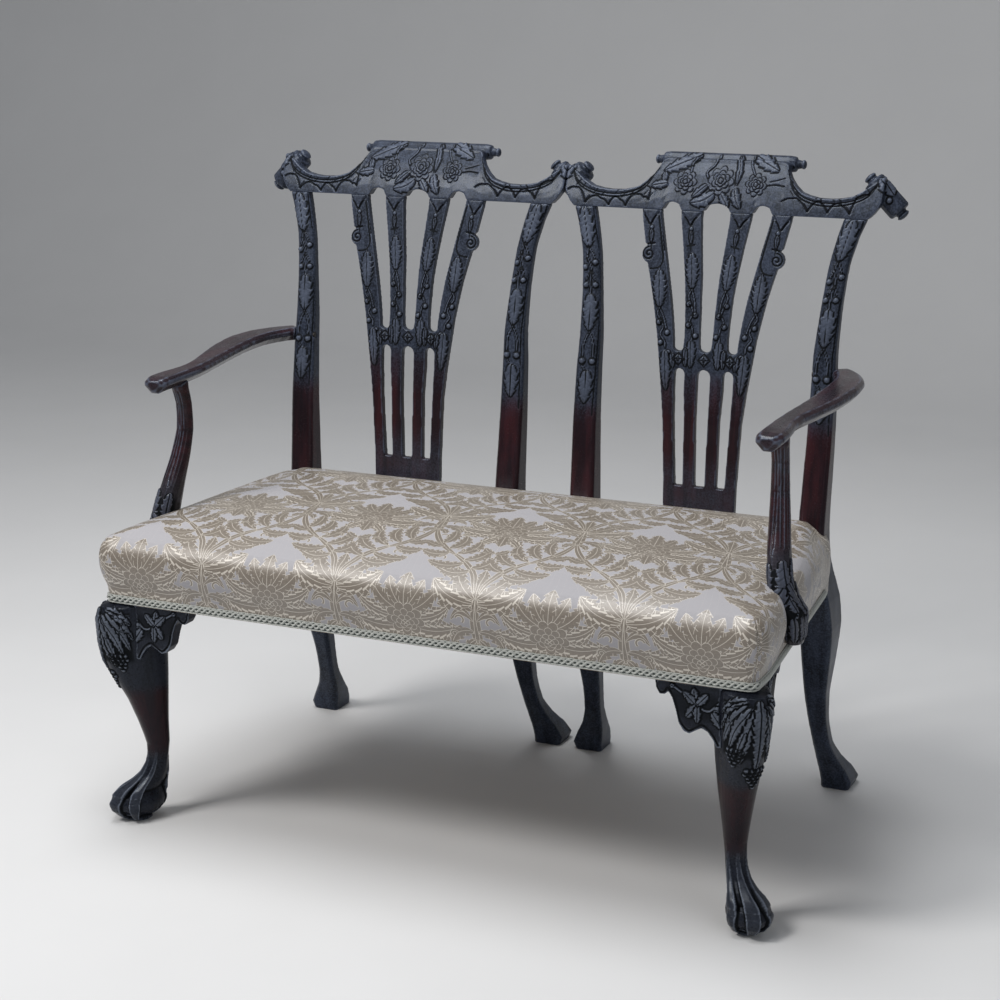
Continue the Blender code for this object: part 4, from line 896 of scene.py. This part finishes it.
for label, side in (("left", -1), ("right", 1)):
    arm = dense(label + "Arm", "arm_" + label, 0.0018, armWood, 1)
    fair(arm, 1, -0.195, 0.205, 0.012)
    ready(plainPiece(arm, even(0.55)), "polished_mahogany", "arm_" + label)
    support = dense(label + "Support", "arm_support_" + label, 0.0013, armWood, 5)
    fair(support, 2, 0.41, 0.66, 0.011)
    carve(support, drawSupport, roundAbout(side, -60, 0.020, 0.379, 0.66), supportPolish)
    ready(support, "polished_mahogany", "arm_support_" + label)
    leg = dense(label + "FrontLeg", "front_leg_" + label, 0.0014, legWood, 1)
    fair(leg, 2, 0.075, 0.30, 0.010)
    carve(leg, drawFoot, roundAbout(side, -45, footLook["radius"], 0.0015, 0.13), legPolish)
    carve(leg, drawKnee, roundAbout(side, -45, footLook["radius"], 0.20, 0.3585), legPolish)
    carve(leg, drawVine, flatFront(side), legPolish)
    carve(leg, drawVine, flatSide(side), legPolish)
    ready(leg, "carved_mahogany", "front_leg_" + label)
    for place in ("front", "side"):
        node = "%s_knee_bracket_%s" % (place, label)
        bracket = dense(label + place.capitalize() + "Bracket", node, 0.0013, legWood, 1)
        face = flatFront(side) if place == "front" else flatSide(side)
        ready(carve(bracket, drawVine, face, even(0.0)), "carved_mahogany", node)
print("arms and legs finished")


# Hidden frame and the layers under the cover
def beechFinish():
    made = Finish("planedBeech", {"IOR": 1.45})
    place = made.place()
    grain = made.noise(made.scaled(place, (0.12, 1.0, 1.0)), 90.0, 4.0, 0.6)
    fleck = made.noise(made.scaled(place, (0.5, 3.0, 3.0)), 320.0, 1.0, 0.4)
    colour = made.blend(grain.step(0.3, 0.7), (0.30, 0.18, 0.09), (0.47, 0.31, 0.17))
    colour = made.blend(fleck.step(0.62, 0.7), colour, (0.20, 0.11, 0.055))
    return made.finish(colour, 0.5 + grain * 0.2, grain + fleck * 0.4, 0.0003)


def tapeFinish(name, thread, light, dark):
    made = Finish(name, {"IOR": 1.4})
    x, y, _ = made.split(made.place())
    warp = (x * (math.tau / thread)).sin() * 0.5 + 0.5
    weft = (y * (math.tau / thread)).sin() * 0.5 + 0.5
    fibre = made.noise(made.place(), 900.0, 2.0)
    weave = (warp * weft + fibre * 0.4).step(0.1, 1.0)
    return made.finish(made.blend(weave, dark, light), 0.85 + fibre * 0.1, weave, 0.0006)


def screwFinish():
    made = Finish("dullSteel", {"Metallic": 1.0})
    scratch = made.noise(made.scaled(made.place(), (1.0, 6.0, 6.0)), 700.0, 2.0)
    stain = made.noise(made.place(), 300.0)
    colour = made.blend(stain.step(0.4, 0.7), (0.060, 0.056, 0.054), (0.030, 0.026, 0.024))
    return made.finish(colour, 0.34 + scratch * 0.3, scratch, 0.0002)


hidden = {
    "beech": beechFinish(),
    "stained": carvedWood,
    "jute": tapeFinish("juteTape", 0.0022, (0.42, 0.30, 0.16), (0.17, 0.11, 0.05)),
    "hessian": tapeFinish("hessianCloth", 0.0016, (0.46, 0.36, 0.22), (0.20, 0.14, 0.08)),
    "steel": screwFinish(),
}
for name, node in nodes.items():
    key = "beech"
    if "screw" in name:
        key = "steel"
    elif "dowel" in name or "rear_rail" in name or "shoe" in name:
        key = "stained"
    elif "web" in name:
        key = "jute"
    elif name == "hessian":
        key = "hessian"
    node.data.materials.clear()
    node.data.materials.append(hidden[key])
print("hidden frame finished")

# The seat: its stuffing and damask are one closed form, drawn down over the rails
seat = {
    "halfFront": 0.5068,
    "front": -0.3153,
    "rear": 0.1800,
    "slopeFrom": -0.2560,
    "slope": 0.08855,
    "corner": 0.0135,
    "low": 0.3622,
    "rearLow": 0.4290,
    "rise": 0.1013,
    "crown": 0.0252,
    "bulge": 0.0160,
    "tuckAt": -0.1621,
    "cell": 0.0092,
    "rows": 14,
    "pressure": 4.0,
    "mostMove": 0.0030,
    "frames": 20,
    "tackLow": 0.385,
    "tackRear": 0.012,
    "pleat": 0.0022,
    "folds": ((0, 5.0, 1.0), (22, 6.0, 0.4), (-24, 7.0, 0.3)),
}
edgeRows = [(0, 0, 0), (0.01, 0, 0.08), (0.10, 0, 0.17), (0.55, 0.09, 0.315)]
edgeRows += [(0.94, 0.09, 0.50), (1, 0, 0.70), (0.70, -0.60, 0.875), (0, -1.80, 0.99)]
edgeLine = np.array(throughPoints(edgeRows, 8))
sideBulge = ([0, 0.50, 0.66, 0.82, 0.94, 1], [1, 1, 0.85, 0.42, 0.08, 0])
crownRise = ([0, 0.0135, 0.0285, 0.07, 0.145, 0.22, 0.6], [0, 0.22, 0.40, 0.72, 0.92, 1.0, 1.0])


def sideX(y):
    return seat["halfFront"] - seat["slope"] * np.maximum(y - seat["slopeFrom"], 0)


# places round the seat, each with the way outwards and its shares of the bulge and of the tuck
def seatOutline():
    radius = seat["corner"]
    middle = np.array([seat["halfFront"] - radius, seat["front"] + radius])

    def turn(start, end, flip):
        made = []
        for i in range(4):
            angle = math.radians(start + (end - start) * i / 3)
            way = np.array([math.cos(angle) * flip, math.sin(angle)])
            made.append((middle * (flip, 1) + way * radius, way, 1.0, 0.0))
        return made

    count = int(2 * middle[0] / seat["cell"])
    ahead, behind = np.array([0.0, -1.0]), np.array([0.0, 1.0])
    front = turn(-45, -90, -1)
    for i in range(1, count):
        front.append((np.array([middle[0] * (2 * i / count - 1), seat["front"]]), ahead, 1.0, 0.0))
    front += turn(-90, -45, 1)
    side = turn(-45, 0, 1)
    run = seat["rear"] - middle[1]
    count = int(run / seat["cell"])
    angle = math.atan(seat["slope"])
    outwards = np.array([math.cos(angle), math.sin(angle)])
    for i in range(1, count + 1):
        y = middle[1] + run * i / count
        share = float(np.interp(i / count, *sideBulge))
        tuck = 0.85 * (1 - float(smoothstep(0.012, 0.050, abs(y - seat["tuckAt"]))))
        side.append((np.array([float(sideX(y)), y]), outwards, share, tuck))
    corner = float(sideX(seat["rear"]))
    rear = []
    for x in np.linspace(corner, -corner, len(front)):
        rear.append((np.array([x, seat["rear"]]), behind, -1.0, 0.0))
    left = [(place * (-1, 1), way * (-1, 1), share, tuck) for place, way, share, tuck in reversed(side)]
    return front, side, rear, left


def seatPoint(spot, share):
    place, way, bulge, tuck = spot
    levels = np.linspace(0, 1, len(edgeLine))
    full, flat, up = [float(np.interp(share, levels, column)) for column in edgeLine.T]
    if bulge < 0:  # the rear edge stands upright against the shoes
        draw = 1 + seat["bulge"] * min(flat, 0) / float(sideX(seat["rear"]))
        rise = seat["low"] + seat["rise"] - seat["rearLow"]
        return np.array([place[0] * draw, place[1], seat["rearLow"] + rise * up])
    out = seat["bulge"] * (bulge * (1 - tuck) * full + (1 - bulge) * flat)
    x, y = place + way * out
    return np.array([x, min(y, seat["rear"]), seat["low"] + seat["rise"] * up])


def crownHeight(x, y):
    along = min(y - seat["front"], seat["rear"] - y)
    across = float(sideX(y)) - abs(x)
    across = across if across < 0.0285 else 0.0285 + (across - 0.0285) * 0.5
    near = max(min(along, across), 0)
    near -= 0.005 * math.exp(-(((along - across) / 0.02) ** 2)) * min(near / 0.02, 1)
    return float(np.interp(near, *crownRise)) * seat["crown"]


def seatMesh():
    front, side, rear, left = seatOutline()
    across, along = len(front), len(side)
    spots = front + side[1:] + rear[1:-1] + left[:-1]
    sheet = bmesh.new()
    mark = sheet.verts.layers.int.new("spot")
    bmesh.ops.create_grid(sheet, x_segments=across - 1, y_segments=along - 1, size=1)
    low, right = [seatPoint(spot, 1.0) for spot in front], [seatPoint(spot, 1.0) for spot in side]
    high = [seatPoint(spot, 1.0) for spot in reversed(rear)]
    high[0], high[-1] = right[-1] * (-1, 1, 1), right[-1]
    for vert in sheet.verts:
        i, j = round((vert.co.x + 1) / 2 * (across - 1)), round((vert.co.y + 1) / 2 * (along - 1))
        if j == 0:
            vert[mark] = i
        elif i == across - 1:
            vert[mark] = i + j
        elif j == along - 1:
            vert[mark] = 2 * (across - 1) + along - 1 - i
        elif i == 0:
            vert[mark] = 2 * (across - 1) + 2 * (along - 1) - j
        s, t = i / (across - 1), j / (along - 1)
        flat = low[i] * (1 - t) + high[i] * t + right[j] * (-1, 1, 1) * (1 - s) + right[j] * s
        flat -= (low[0] * (1 - s) + low[-1] * s) * (1 - t) + (high[0] * (1 - s) + high[-1] * s) * t
        flat[2] += crownHeight(flat[0], flat[1])
        vert.co = flat
    rim = [edge for edge in sheet.edges if edge.is_boundary]
    for row in range(seat["rows"] - 1, -1, -1):
        verts, rim = extruded(sheet, rim)
        for vert in verts:
            vert.co = seatPoint(spots[vert[mark]], row / seat["rows"])
    bmesh.ops.recalc_face_normals(sheet, faces=sheet.faces)
    if max(sheet.faces, key=lambda face: face.calc_center_median().z).normal.z < 0:
        bmesh.ops.reverse_faces(sheet, faces=sheet.faces)
    mesh = bpy.data.meshes.new("seatCushion")
    sheet.to_mesh(mesh)
    sheet.free()
    return mesh


def swell(piece):  # the stuffing presses the cloth outwards a little
    rest, _ = coordinates(piece.data)
    held = piece.vertex_groups.new(name="tacked")
    tacked = (rest[:, 2] < seat["tackLow"]) | (rest[:, 1] > seat["rear"] - seat["tackRear"])
    held.add(np.nonzero(tacked)[0].tolist(), 1.0, "REPLACE")
    cloth = piece.modifiers.new("stuffing", "CLOTH")
    cloth.settings.use_pressure = True
    cloth.settings.uniform_pressure_force = seat["pressure"]
    cloth.settings.effector_weights.gravity = 0
    cloth.settings.vertex_group_mass = "tacked"
    cloth.point_cache.frame_start, cloth.point_cache.frame_end = 1, seat["frames"]
    for step in range(1, seat["frames"] + 1):
        bpy.context.scene.frame_set(step)
    graph = bpy.context.evaluated_depsgraph_get()
    posed = piece.evaluated_get(graph)
    full, _ = coordinates(posed.to_mesh())
    posed.to_mesh_clear()
    piece.modifiers.clear()
    bpy.context.scene.frame_set(1)
    step = full - rest
    length = np.linalg.norm(step, axis=1, keepdims=True)
    step *= np.minimum(1, seat["mostMove"] / np.maximum(length, 1e-9))
    move(piece.data, rest + step)
    print("seat swelled, at most %.1f mm" % (1000 * float(length.max())))


def pleatCorners(mesh):  # the spare cloth folded in at each front corner
    points, normals = coordinates(mesh)
    middle = np.array([seat["halfFront"] - seat["corner"], seat["front"] + seat["corner"]])
    for side in (-1, 1):
        x, y = points[:, 0] * side - middle[0], points[:, 1] - middle[1]
        away = np.hypot(x, y)
        turn = np.degrees(np.arctan2(y, x)) + 45
        wall = (x > -0.004) & (y < 0.004) & (points[:, 2] < 0.475)
        share = wall * between(points[:, 2], (0.364, 0.378), (0.440, 0.474)) * (away > 0.004)
        groove = sum(deep * bell(turn, middle, spread) for middle, spread, deep in seat["folds"])
        points -= normals * (seat["pleat"] * share * groove)[:, None]
    move(mesh, points)


def arcAlong(line, first, second):  # how far along a line of points the nearest place on it is
    line = np.array(line)
    best, found = np.full(len(first), 9.0), np.zeros(len(first))
    past = 0.0
    for a, b in zip(line, line[1:]):
        run = b - a
        length = math.hypot(*run)
        t = np.clip(((first - a[0]) * run[0] + (second - a[1]) * run[1]) / length**2, 0, 1)
        away = np.hypot(first - a[0] - t * run[0], second - a[1] - t * run[1])
        closer = away < best
        best, found = np.where(closer, away, best), np.where(closer, past + t * length, found)
        past += length
    return found


def layCloth(mesh):  # the damask's own two directions, followed over the front, the sides and the rear
    points, _ = coordinates(mesh)
    corner = read(mesh.loops, "vertex_index", 1, np.int64)
    total = read(mesh.polygons, "loop_total", 1, np.int64)
    middle, facing = read(mesh.polygons, "center"), read(mesh.polygons, "normal")
    x, y, z = points.T
    front, rear, crown = seat["front"], seat["rear"], seat["crown"]
    top = seat["low"] + seat["rise"]
    line = [(front - seat["bulge"] * row[0], seat["low"] + seat["rise"] * row[2]) for row in edgeLine]
    line += [(front + reach, top + share * crown) for reach, share in list(zip(*crownRise))[1:4]]
    line += [(rear + 0.05, top + crown)]
    start = float(arcAlong(line, np.array([front - 0.012]), np.array([0.4050]))[0])
    edge = float(arcAlong(line, np.array([front]), np.array([top]))[0])
    slant = 0.002 + np.maximum(y - front - 0.02, 0) * 0.20
    v = arcAlong(line, y, z) - start
    sideLine = [(-0.02, top + 0.3 * crown)]
    sideLine += [(seat["bulge"] * row[0], seat["low"] + seat["rise"] * row[2]) for row in reversed(edgeLine)]
    down = arcAlong(sideLine, np.abs(x) - sideX(y), z)
    sideU = np.sign(x) * (sideX(y) - 0.02 + down) + slant
    sideV = y - front + edge - start
    rearV = float(v[y > rear - 0.01].max()) + float(z.max()) - z
    side = np.repeat((middle[:, 2] < top) & (np.abs(facing[:, 0]) > np.abs(facing[:, 1])), total)
    back = np.repeat((facing[:, 1] > 0.6) & (middle[:, 1] > 0), total)
    made = np.empty((len(corner), 2), np.float32)
    made[:, 0] = np.where(side, sideU[corner], (x + slant)[corner])
    made[:, 1] = np.where(side, sideV[corner], np.where(back, rearV[corner], v[corner]))
    mesh.uv_layers.new(name="cloth").data.foreach_set("uv", made.ravel())


def extruded(shape, rim):
    made = bmesh.ops.extrude_edge_only(shape, edges=rim)["geom"]
    verts = [item for item in made if isinstance(item, bmesh.types.BMVert)]
    return verts, [item for item in made if isinstance(item, bmesh.types.BMEdge)]


def closeUnder(piece):  # the inside of the cover against the rails, and the underside of the stuffing
    shape = bmesh.new()
    shape.from_mesh(piece.data)
    verts, rim = extruded(shape, [edge for edge in shape.edges if edge.is_boundary])
    for vert in verts:
        vert.co.x *= 1 - 0.0014 / 0.5
        vert.co.y = -0.067 + (vert.co.y + 0.067) * (1 - 0.0014 / 0.248)
    verts, rim = extruded(shape, rim)
    for vert in verts:
        vert.co.z = 0.4325
    bmesh.ops.contextual_create(shape, geom=rim)
    bmesh.ops.recalc_face_normals(shape, faces=shape.faces)
    shape.to_mesh(piece.data)
    shape.free()


def damaskLeaf(numbers, half, teeth=4, lean=0.0, blunt=0.62):  # lengths in millimetres
    ends = [(x / 1000, y / 1000) for x, y in pairs(numbers)]
    return ends, half / 1000, teeth, lean / 1000, blunt


damask = {
    "width": 0.2185,
    "drop": 0.2500,
    "ground": (0.345, 0.335, 0.350),
    "groundDark": (0.270, 0.262, 0.278),
    "figure": (0.106, 0.081, 0.057),
    "figureLight": (0.188, 0.152, 0.112),
    "cream": (0.500, 0.455, 0.390),
    "leaves": [
        damaskLeaf((0, -30, 30, -70), 15, 4, 3),
        damaskLeaf((2, -22, 66, -44), 18, 6, 6),
        damaskLeaf((4, -14, 82, -6), 22, 7, -10),
        damaskLeaf((10, 0, 70, 26), 16, 5, -8),
        damaskLeaf((10, 12, 50, 50), 13.9, 4, -5),
        damaskLeaf((5, 18, 27, 62), 12.5, 4, -3),
        damaskLeaf((0, 18, 0, 74), 13.9, 4),
        damaskLeaf((0, -20, 0, -72), 12, 4),
        damaskLeaf((4, 214, 0, 292), 6.2, 0, 0, 0.4),
        damaskLeaf((3, 240, 40, 214), 13, 4, 10),
        damaskLeaf((3, 258, 38, 256), 7.2, 0, 14, 0.5),
        damaskLeaf((2, 226, 18, 204), 8, 3, 4),
        damaskLeaf((3, 274, 58, 278), 13.9, 5, 9),
        damaskLeaf((3, 284, 70, 318), 21.5, 6, -10),
        damaskLeaf((2, 290, 44, 352), 13.9, 5, -8),
        damaskLeaf((0, 292, 0, 350), 12.5, 4),
        damaskLeaf((4, 300, 62, 388), 5.6, 0, 10, 0.35),
        damaskLeaf((56, 382, 108, 472), 5.8, 0, -10, 0.35),
        damaskLeaf((24, 344, 74, 346), 13.9, 5, -10),
        damaskLeaf((38, 362, 94, 360), 13.9, 5, -10),
        damaskLeaf((24, 350, -4, 388), 13.9, 4, 8),
        damaskLeaf((40, 370, 8, 414), 13.9, 5, 10),
        damaskLeaf((54, 386, 30, 440), 13.9, 5, 10),
        damaskLeaf((66, 388, 110, 388), 13.9, 5, -9),
        damaskLeaf((70, 400, 56, 456), 13.9, 5, 9),
        damaskLeaf((84, 418, 78, 472), 13, 5, 6),
        damaskLeaf((80, 406, 112, 422), 11.5, 4, -5),
        damaskLeaf((18, 418, 0, 400), 9, 3, 4),
    ],
    "petals": [
        (-0.004, 0.031, 9, 0.0),
        (-0.006, 0.022, 8, 0.5),
        (-0.009, 0.014, 6, 0.0),
        (-0.011, 0.007, 4, 0.5),
    ],
    "curls": [
        (0.024, 0.258, 0.0062),
        (0.034, 0.232, 0.0050),
        (0.052, 0.398, 0.0060),
        (0.090, 0.446, 0.0055),
        (0.030, 0.404, 0.0052),
        (0.074, 0.372, 0.0046),
    ],
    "linesFrom": 0.0140,
    "soft": 0.0003,
    "weft": 0.0011,
    "warp": 0.0008,
}


def foldedLeaves():  # every leaf as it falls in one quarter of the repeat
    half, drop = damask["width"] / 2, damask["drop"]
    made = []
    for ends, wide, teeth, lean, blunt in damask["leaves"]:
        for row in (-1, 0, 1, 2):
            base, tip = [(half - x if row % 2 else x, y - row * drop) for x, y in ends]
            reach = wide + abs(lean)
            if max(base[1], tip[1]) + reach >= 0 and min(base[1], tip[1]) - reach <= drop:
                made.append((base, tip, wide, teeth, -lean if row % 2 else lean, blunt))
    return made


def leafShade(across, along, leaf):  # where one leaf lies, and its tone
    base, tip, wide, teeth, lean, blunt = leaf
    soft = damask["soft"]
    run = np.array(tip) - base
    length2 = float(run @ run)
    length = math.sqrt(length2)
    ax, ay = run[0] / length2, run[1] / length2
    t = across * float(ax) + (along * float(ay) - float(base[0] * ax + base[1] * ay))
    sx, sy = -run[1] / length, run[0] / length
    s = across * float(sx) + (along * float(sy) - float(base[0] * sx + base[1] * sy))
    belly = t * (1 - t)
    s = abs(s - belly * (4 * lean))
    width = (belly ** blunt) * (wide * 4**blunt)
    if teeth:
        width = width * (1 - (t * teeth % 1.0) * 0.36)
    inside = width - s
    mask = inside.step(-soft, soft)
    inner = inside.step(0.0004, 0.0009) * s.step(0.0002, 0.0006)
    if teeth:
        outwards = s / (width + 0.0001)
        if wide > damask["linesFrom"]:
            inner = inner * abs(outwards - 0.48).step(0.035, 0.13)
        veins = 1 - ((t * teeth - s * (0.8 / wide)) % 1.0).step(0.03, 0.13)
        inner = inner * (1 - veins * outwards.step(0.40, 0.55))
    return mask, inner * 0.5 + 0.5


def petalShade(x, y, radius, count, turn):  # one ring of a blossom's petals
    away = (x * x + y * y * 1.25).maths("SQRT")
    angle = x.maths("ARCTAN2", y)
    wedge = abs((angle * (count / math.tau) + turn + 20) % 1.0 - 0.5) * 2.0
    inside = (1 - wedge * wedge * 0.22) * radius - away
    mask = inside.step(-damask["soft"], damask["soft"])
    return mask, inside.step(0.0005, 0.0011) * (away * (1 - wedge)).step(0.0003, 0.0012) * 0.5 + 0.5


def curlShade(dx, dy, radius):
    away = abs((dx * dx + dy * dy).maths("SQRT") - radius)
    mask = away.step(0.0024, 0.0018) * (dy + dx * 0.7).step(-0.4 * radius, -0.3 * radius)
    return mask, away.step(0.0015, 0.0009) * 0.5 + 0.5


def laid(tone, mask, shade):  # one shape of the figure over those before it
    return mask * shade if tone is None else tone + (shade - tone) * mask


def damaskTone(u, v):  # nothing on the ground, half on the lines, whole on the figure
    half, drop = damask["width"] / 2, damask["drop"]
    wave = abs(((u + half) % damask["width"]) - half)
    odd = (v / (2 * drop) % 1.0).maths("GREATER_THAN", 0.5)
    across = wave + odd * (half - wave * 2)
    along = v % drop
    tone = None
    for leaf in foldedLeaves():
        tone = laid(tone, *leafShade(across, along, leaf))
    for corner in (False, True):
        for centre, *petals in damask["petals"]:
            x = half - across if corner else across
            tone = laid(tone, *petalShade(x, along - (centre + drop if corner else centre), *petals))
    for row in (0, 1):
        for x, y, radius in damask["curls"]:
            y -= row * drop
            if -0.01 < y < drop + 0.01:
                tone = laid(tone, *curlShade(across - (half - x if row else x), along - y, radius))
    return tone


def damaskFinish():
    made = Finish("silverDamask", {
        "Specular IOR Level": 0.80,
        "Coat Roughness": 0.46,
        "Coat IOR": 1.75,
        "Sheen Weight": 0.10,
        "Sheen Roughness": 0.4,
        "Sheen Tint": (0.95, 0.92, 0.88, 1),
    })
    u, v, _ = made.split(made.flat())
    tone = damaskTone(u, v)
    weft = (v * (math.tau / damask["weft"])).sin() * 0.5 + 0.5
    warp = (u * (math.tau / damask["warp"])).sin() * 0.5 + 0.5
    slub = made.noise(made.scaled(made.flat(), (240.0, 1500.0, 1.0)), 1.0, 2.0)
    soft = made.noise(made.flat(), 18.0, 2.0)
    ground = made.blend(weft * 0.5 + slub * 0.5, damask["groundDark"], damask["ground"])
    taupe = made.blend(slub.step(0.3, 0.7) * 0.7 + soft * 0.3, damask["figure"], damask["figureLight"])
    colour = made.blend(tone.step(0.12, 0.35), ground, damask["cream"])
    colour = made.blend(tone.step(0.62, 0.90), colour, taupe)
    satin = tone.step(0.1, 0.4)
    made.feed(made.shader.inputs["Coat Weight"], satin * 0.75)
    rough = 0.74 - satin * 0.34 + slub * 0.06
    return made.finish(colour, rough, weft * 0.5 + warp * 0.35 + slub * 0.6, 0.00012)


seatCushion = placed("seatCushion", seatMesh(), damaskFinish())
swell(seatCushion)
fine = seatCushion.modifiers.new("fine", "SUBSURF")
fine.levels = fine.render_levels = 2
applied(seatCushion)
pleatCorners(seatCushion.data)
closeUnder(seatCushion)
layCloth(seatCushion.data)
seatCushion.data.shade_smooth()
ready(seatCushion, "silver_damask", "damask_cover", "seat_pad")
print("seat upholstered")


# The gimp braid along the lower edge
braid = {
    "middle": 0.3688,
    "out": 0.0022,
    "wave": 0.0030,
    "pitch": 0.0190,
    "strand": 0.00160,
    "steps": 16,
    "rearEnd": 0.150,
    "lower": 0.0050,
    "upper": 0.0052,
    "thread": 0.0013,
    "band": ((0.0002, 0.3626), (0.0012, 0.3630), (0.0013, 0.3738), (0.0002, 0.3744)),
}


def braidPath():  # places round the lower edge, a step of the wave apart
    front, side, _, left = seatOutline()
    line = [spot for spot in left + front[1:] + side[1:] if spot[0][1] < braid["rearEnd"]]
    places = np.array([spot[0] for spot in line])
    ways = np.array([spot[1] for spot in line])
    along = np.concatenate([[0], np.cumsum(np.linalg.norm(np.diff(places, axis=0), axis=1))])
    count = int(along[-1] / braid["pitch"]) * braid["steps"]
    spots = np.linspace(0, along[-1], count + 1)
    pick = lambda table: np.array([np.interp(spots, along, table[:, i]) for i in range(2)]).T
    return pick(places), pick(ways)


def cordPiece(name, points, radius, material, ring=2):
    curve = bpy.data.curves.new(name, "CURVE")
    curve.dimensions = "3D"
    curve.bevel_depth = radius
    curve.bevel_resolution = ring
    curve.use_fill_caps = True
    line = curve.splines.new("POLY")
    line.points.add(len(points) - 1)
    flat = np.column_stack([points, np.ones(len(points))]).astype(np.float32)
    line.points.foreach_set("co", flat.ravel())
    made = bpy.data.objects.new(name, curve)
    bpy.context.scene.collection.objects.link(made)
    graph = bpy.context.evaluated_depsgraph_get()
    mesh = bpy.data.meshes.new_from_object(made.evaluated_get(graph))
    bpy.data.objects.remove(made)
    mesh.shade_smooth()
    return placed(name, mesh, material)


def braidFinish(name, light, dark):
    made = Finish(name, {"Specular IOR Level": 0.5, "Sheen Weight": 0.2})
    place = made.place()
    x, y, z = made.split(place)
    twist = ((x + y + z * 1.2) * (math.tau / braid["thread"])).sin() * 0.5 + 0.5
    fibre = made.noise(place, 1400.0, 2.0)
    soft = made.noise(place, 45.0, 2.0)
    colour = made.blend(twist * 0.55 + fibre * 0.35 + soft * 0.2, dark, light)
    return made.finish(colour, 0.5 + fibre * 0.15, twist + fibre * 0.5, 0.0002)


braidPlaces, braidWays = braidPath()
paleSilk = braidFinish("paleSilk", (0.58, 0.59, 0.55), (0.30, 0.32, 0.30))
sageSilk = braidFinish("sageSilk", (0.11, 0.14, 0.12), (0.04, 0.055, 0.05))
phase = np.arange(len(braidPlaces)) * 2 * math.pi / braid["steps"]


def cord(name, lift, high, radius):
    flat = braidPlaces + braidWays * np.broadcast_to(lift, len(phase))[:, None]
    points = np.column_stack([flat, np.broadcast_to(high, len(phase))])
    return cordPiece(name, points, radius, paleSilk)


strands = []
for i, start in enumerate((0, math.pi)):
    high = braid["middle"] + 0.0012 + braid["wave"] * np.sin(phase + start)
    lift = braid["out"] + 0.0009 * np.cos(phase + start) + 0.0001 * i
    strands.append(cord("braidStrand%d" % (i + 1), lift, high, braid["strand"]))
strands.append(cord("braidLowerCord", 0.0014, braid["middle"] - braid["lower"], 0.0014))
topLoop = braid["middle"] + braid["upper"] + 0.0006 * np.abs(np.sin(phase / 2 + 0.4))
strands.append(cord("braidUpperCord", 0.0012, topLoop, 0.0009))
band = bmesh.new()
rows = []
for out, z in braid["band"]:
    rows.append([band.verts.new((x, y, z)) for x, y in (braidPlaces + braidWays * out)[::5]])
for low, high in zip(rows, rows[1:] + rows[:1]):
    for a, b, c, d in zip(low, low[1:], high[1:], high):
        band.faces.new((a, b, c, d))
bmesh.ops.recalc_face_normals(band, faces=band.faces)
bandMesh = bpy.data.meshes.new("braidBand")
band.to_mesh(bandMesh)
band.free()
strands.append(placed("braidBand", bandMesh, sageSilk))
for strand in strands:
    ready(strand, "pale_braid", "gimp_braid")
print("braid laid")


# Floor, light and camera
stageLook = {
    "size": 9.0,
    "bendFrom": 3.2,
    "bend": 1.6,
    "dark": (0.62, 0.62, 0.62),
    "light": (0.66, 0.66, 0.66),
    "sky": (0.92, 0.95, 1.0, 1),
    "skyStrength": 0.30,
}


def stageFinish():
    made = Finish("paleFloor", {"IOR": 1.3})
    grit = made.noise(made.place(), 3.0)
    return made.finish(made.blend(grit, stageLook["dark"], stageLook["light"]), 0.85 + grit * 0.1)


sheet = bmesh.new()
bmesh.ops.create_grid(sheet, x_segments=2, y_segments=60, size=stageLook["size"])
bendFrom, radius = stageLook["bendFrom"], stageLook["bend"]
for vert in sheet.verts:
    back = vert.co.y - bendFrom
    if back > 0:
        turn = min(back / radius, math.pi / 2)
        vert.co.y = bendFrom + radius * math.sin(turn)
        vert.co.z = radius * (1 - math.cos(turn)) + max(back - radius * math.pi / 2, 0)
floorMesh = bpy.data.meshes.new("studioSweep")
sheet.to_mesh(floorMesh)
sheet.free()
floorMesh.shade_smooth()
floor = placed("studioSweep", floorMesh, stageFinish())

world = bpy.data.worlds.new("studio")
bpy.context.scene.world = world
world.use_nodes = True
sky = world.node_tree.nodes["Background"]
sky.inputs["Color"].default_value = stageLook["sky"]
sky.inputs["Strength"].default_value = stageLook["skyStrength"]


def lamp(name, place, aim, size, watts, colour):
    light = bpy.data.lights.new(name, "AREA")
    light.shape = "RECTANGLE"
    light.size, light.size_y = size
    light.energy = watts
    light.color = colour
    made = bpy.data.objects.new(name, light)
    bpy.context.scene.collection.objects.link(made)
    made.location = place
    made.rotation_euler = (Vector(aim) - Vector(place)).to_track_quat("-Z", "Y").to_euler()


lamp("key", (-1.35, -1.9, 2.9), (0, 0, 0.5), (0.9, 0.9), 66, (1.0, 0.98, 0.96))
lamp("fill", (2.6, -2.2, 1.5), (0, 0, 0.5), (1.2, 1.6), 9, (0.94, 0.97, 1.0))
lamp("topLight", (-0.3, -0.2, 3.0), (0, 0, 0.4), (1.8, 1.0), 55, (0.98, 0.99, 1.0))

cameraLook = {
    "lens": 76.2,
    "sensor": 36,
    "shiftY": 0.1,
    "place": (1.269, -2.571, 1.291),
    "tilt": 73.03,
    "turn": 24.02,
}
lens = bpy.data.cameras.new("camera")
lens.lens = cameraLook["lens"]
lens.sensor_width = cameraLook["sensor"]
lens.sensor_fit = "HORIZONTAL"
lens.shift_y = cameraLook["shiftY"]
lens.clip_end = 60
camera = bpy.data.objects.new("camera", lens)
bpy.context.scene.collection.objects.link(camera)
camera.location = Vector(cameraLook["place"]) + Vector((0, shift, 0))
camera.rotation_euler = (math.radians(cameraLook["tilt"]), 0, math.radians(cameraLook["turn"]))
bpy.context.scene.camera = camera
bpy.context.scene.view_settings.view_transform = "Standard"

print("stage set")
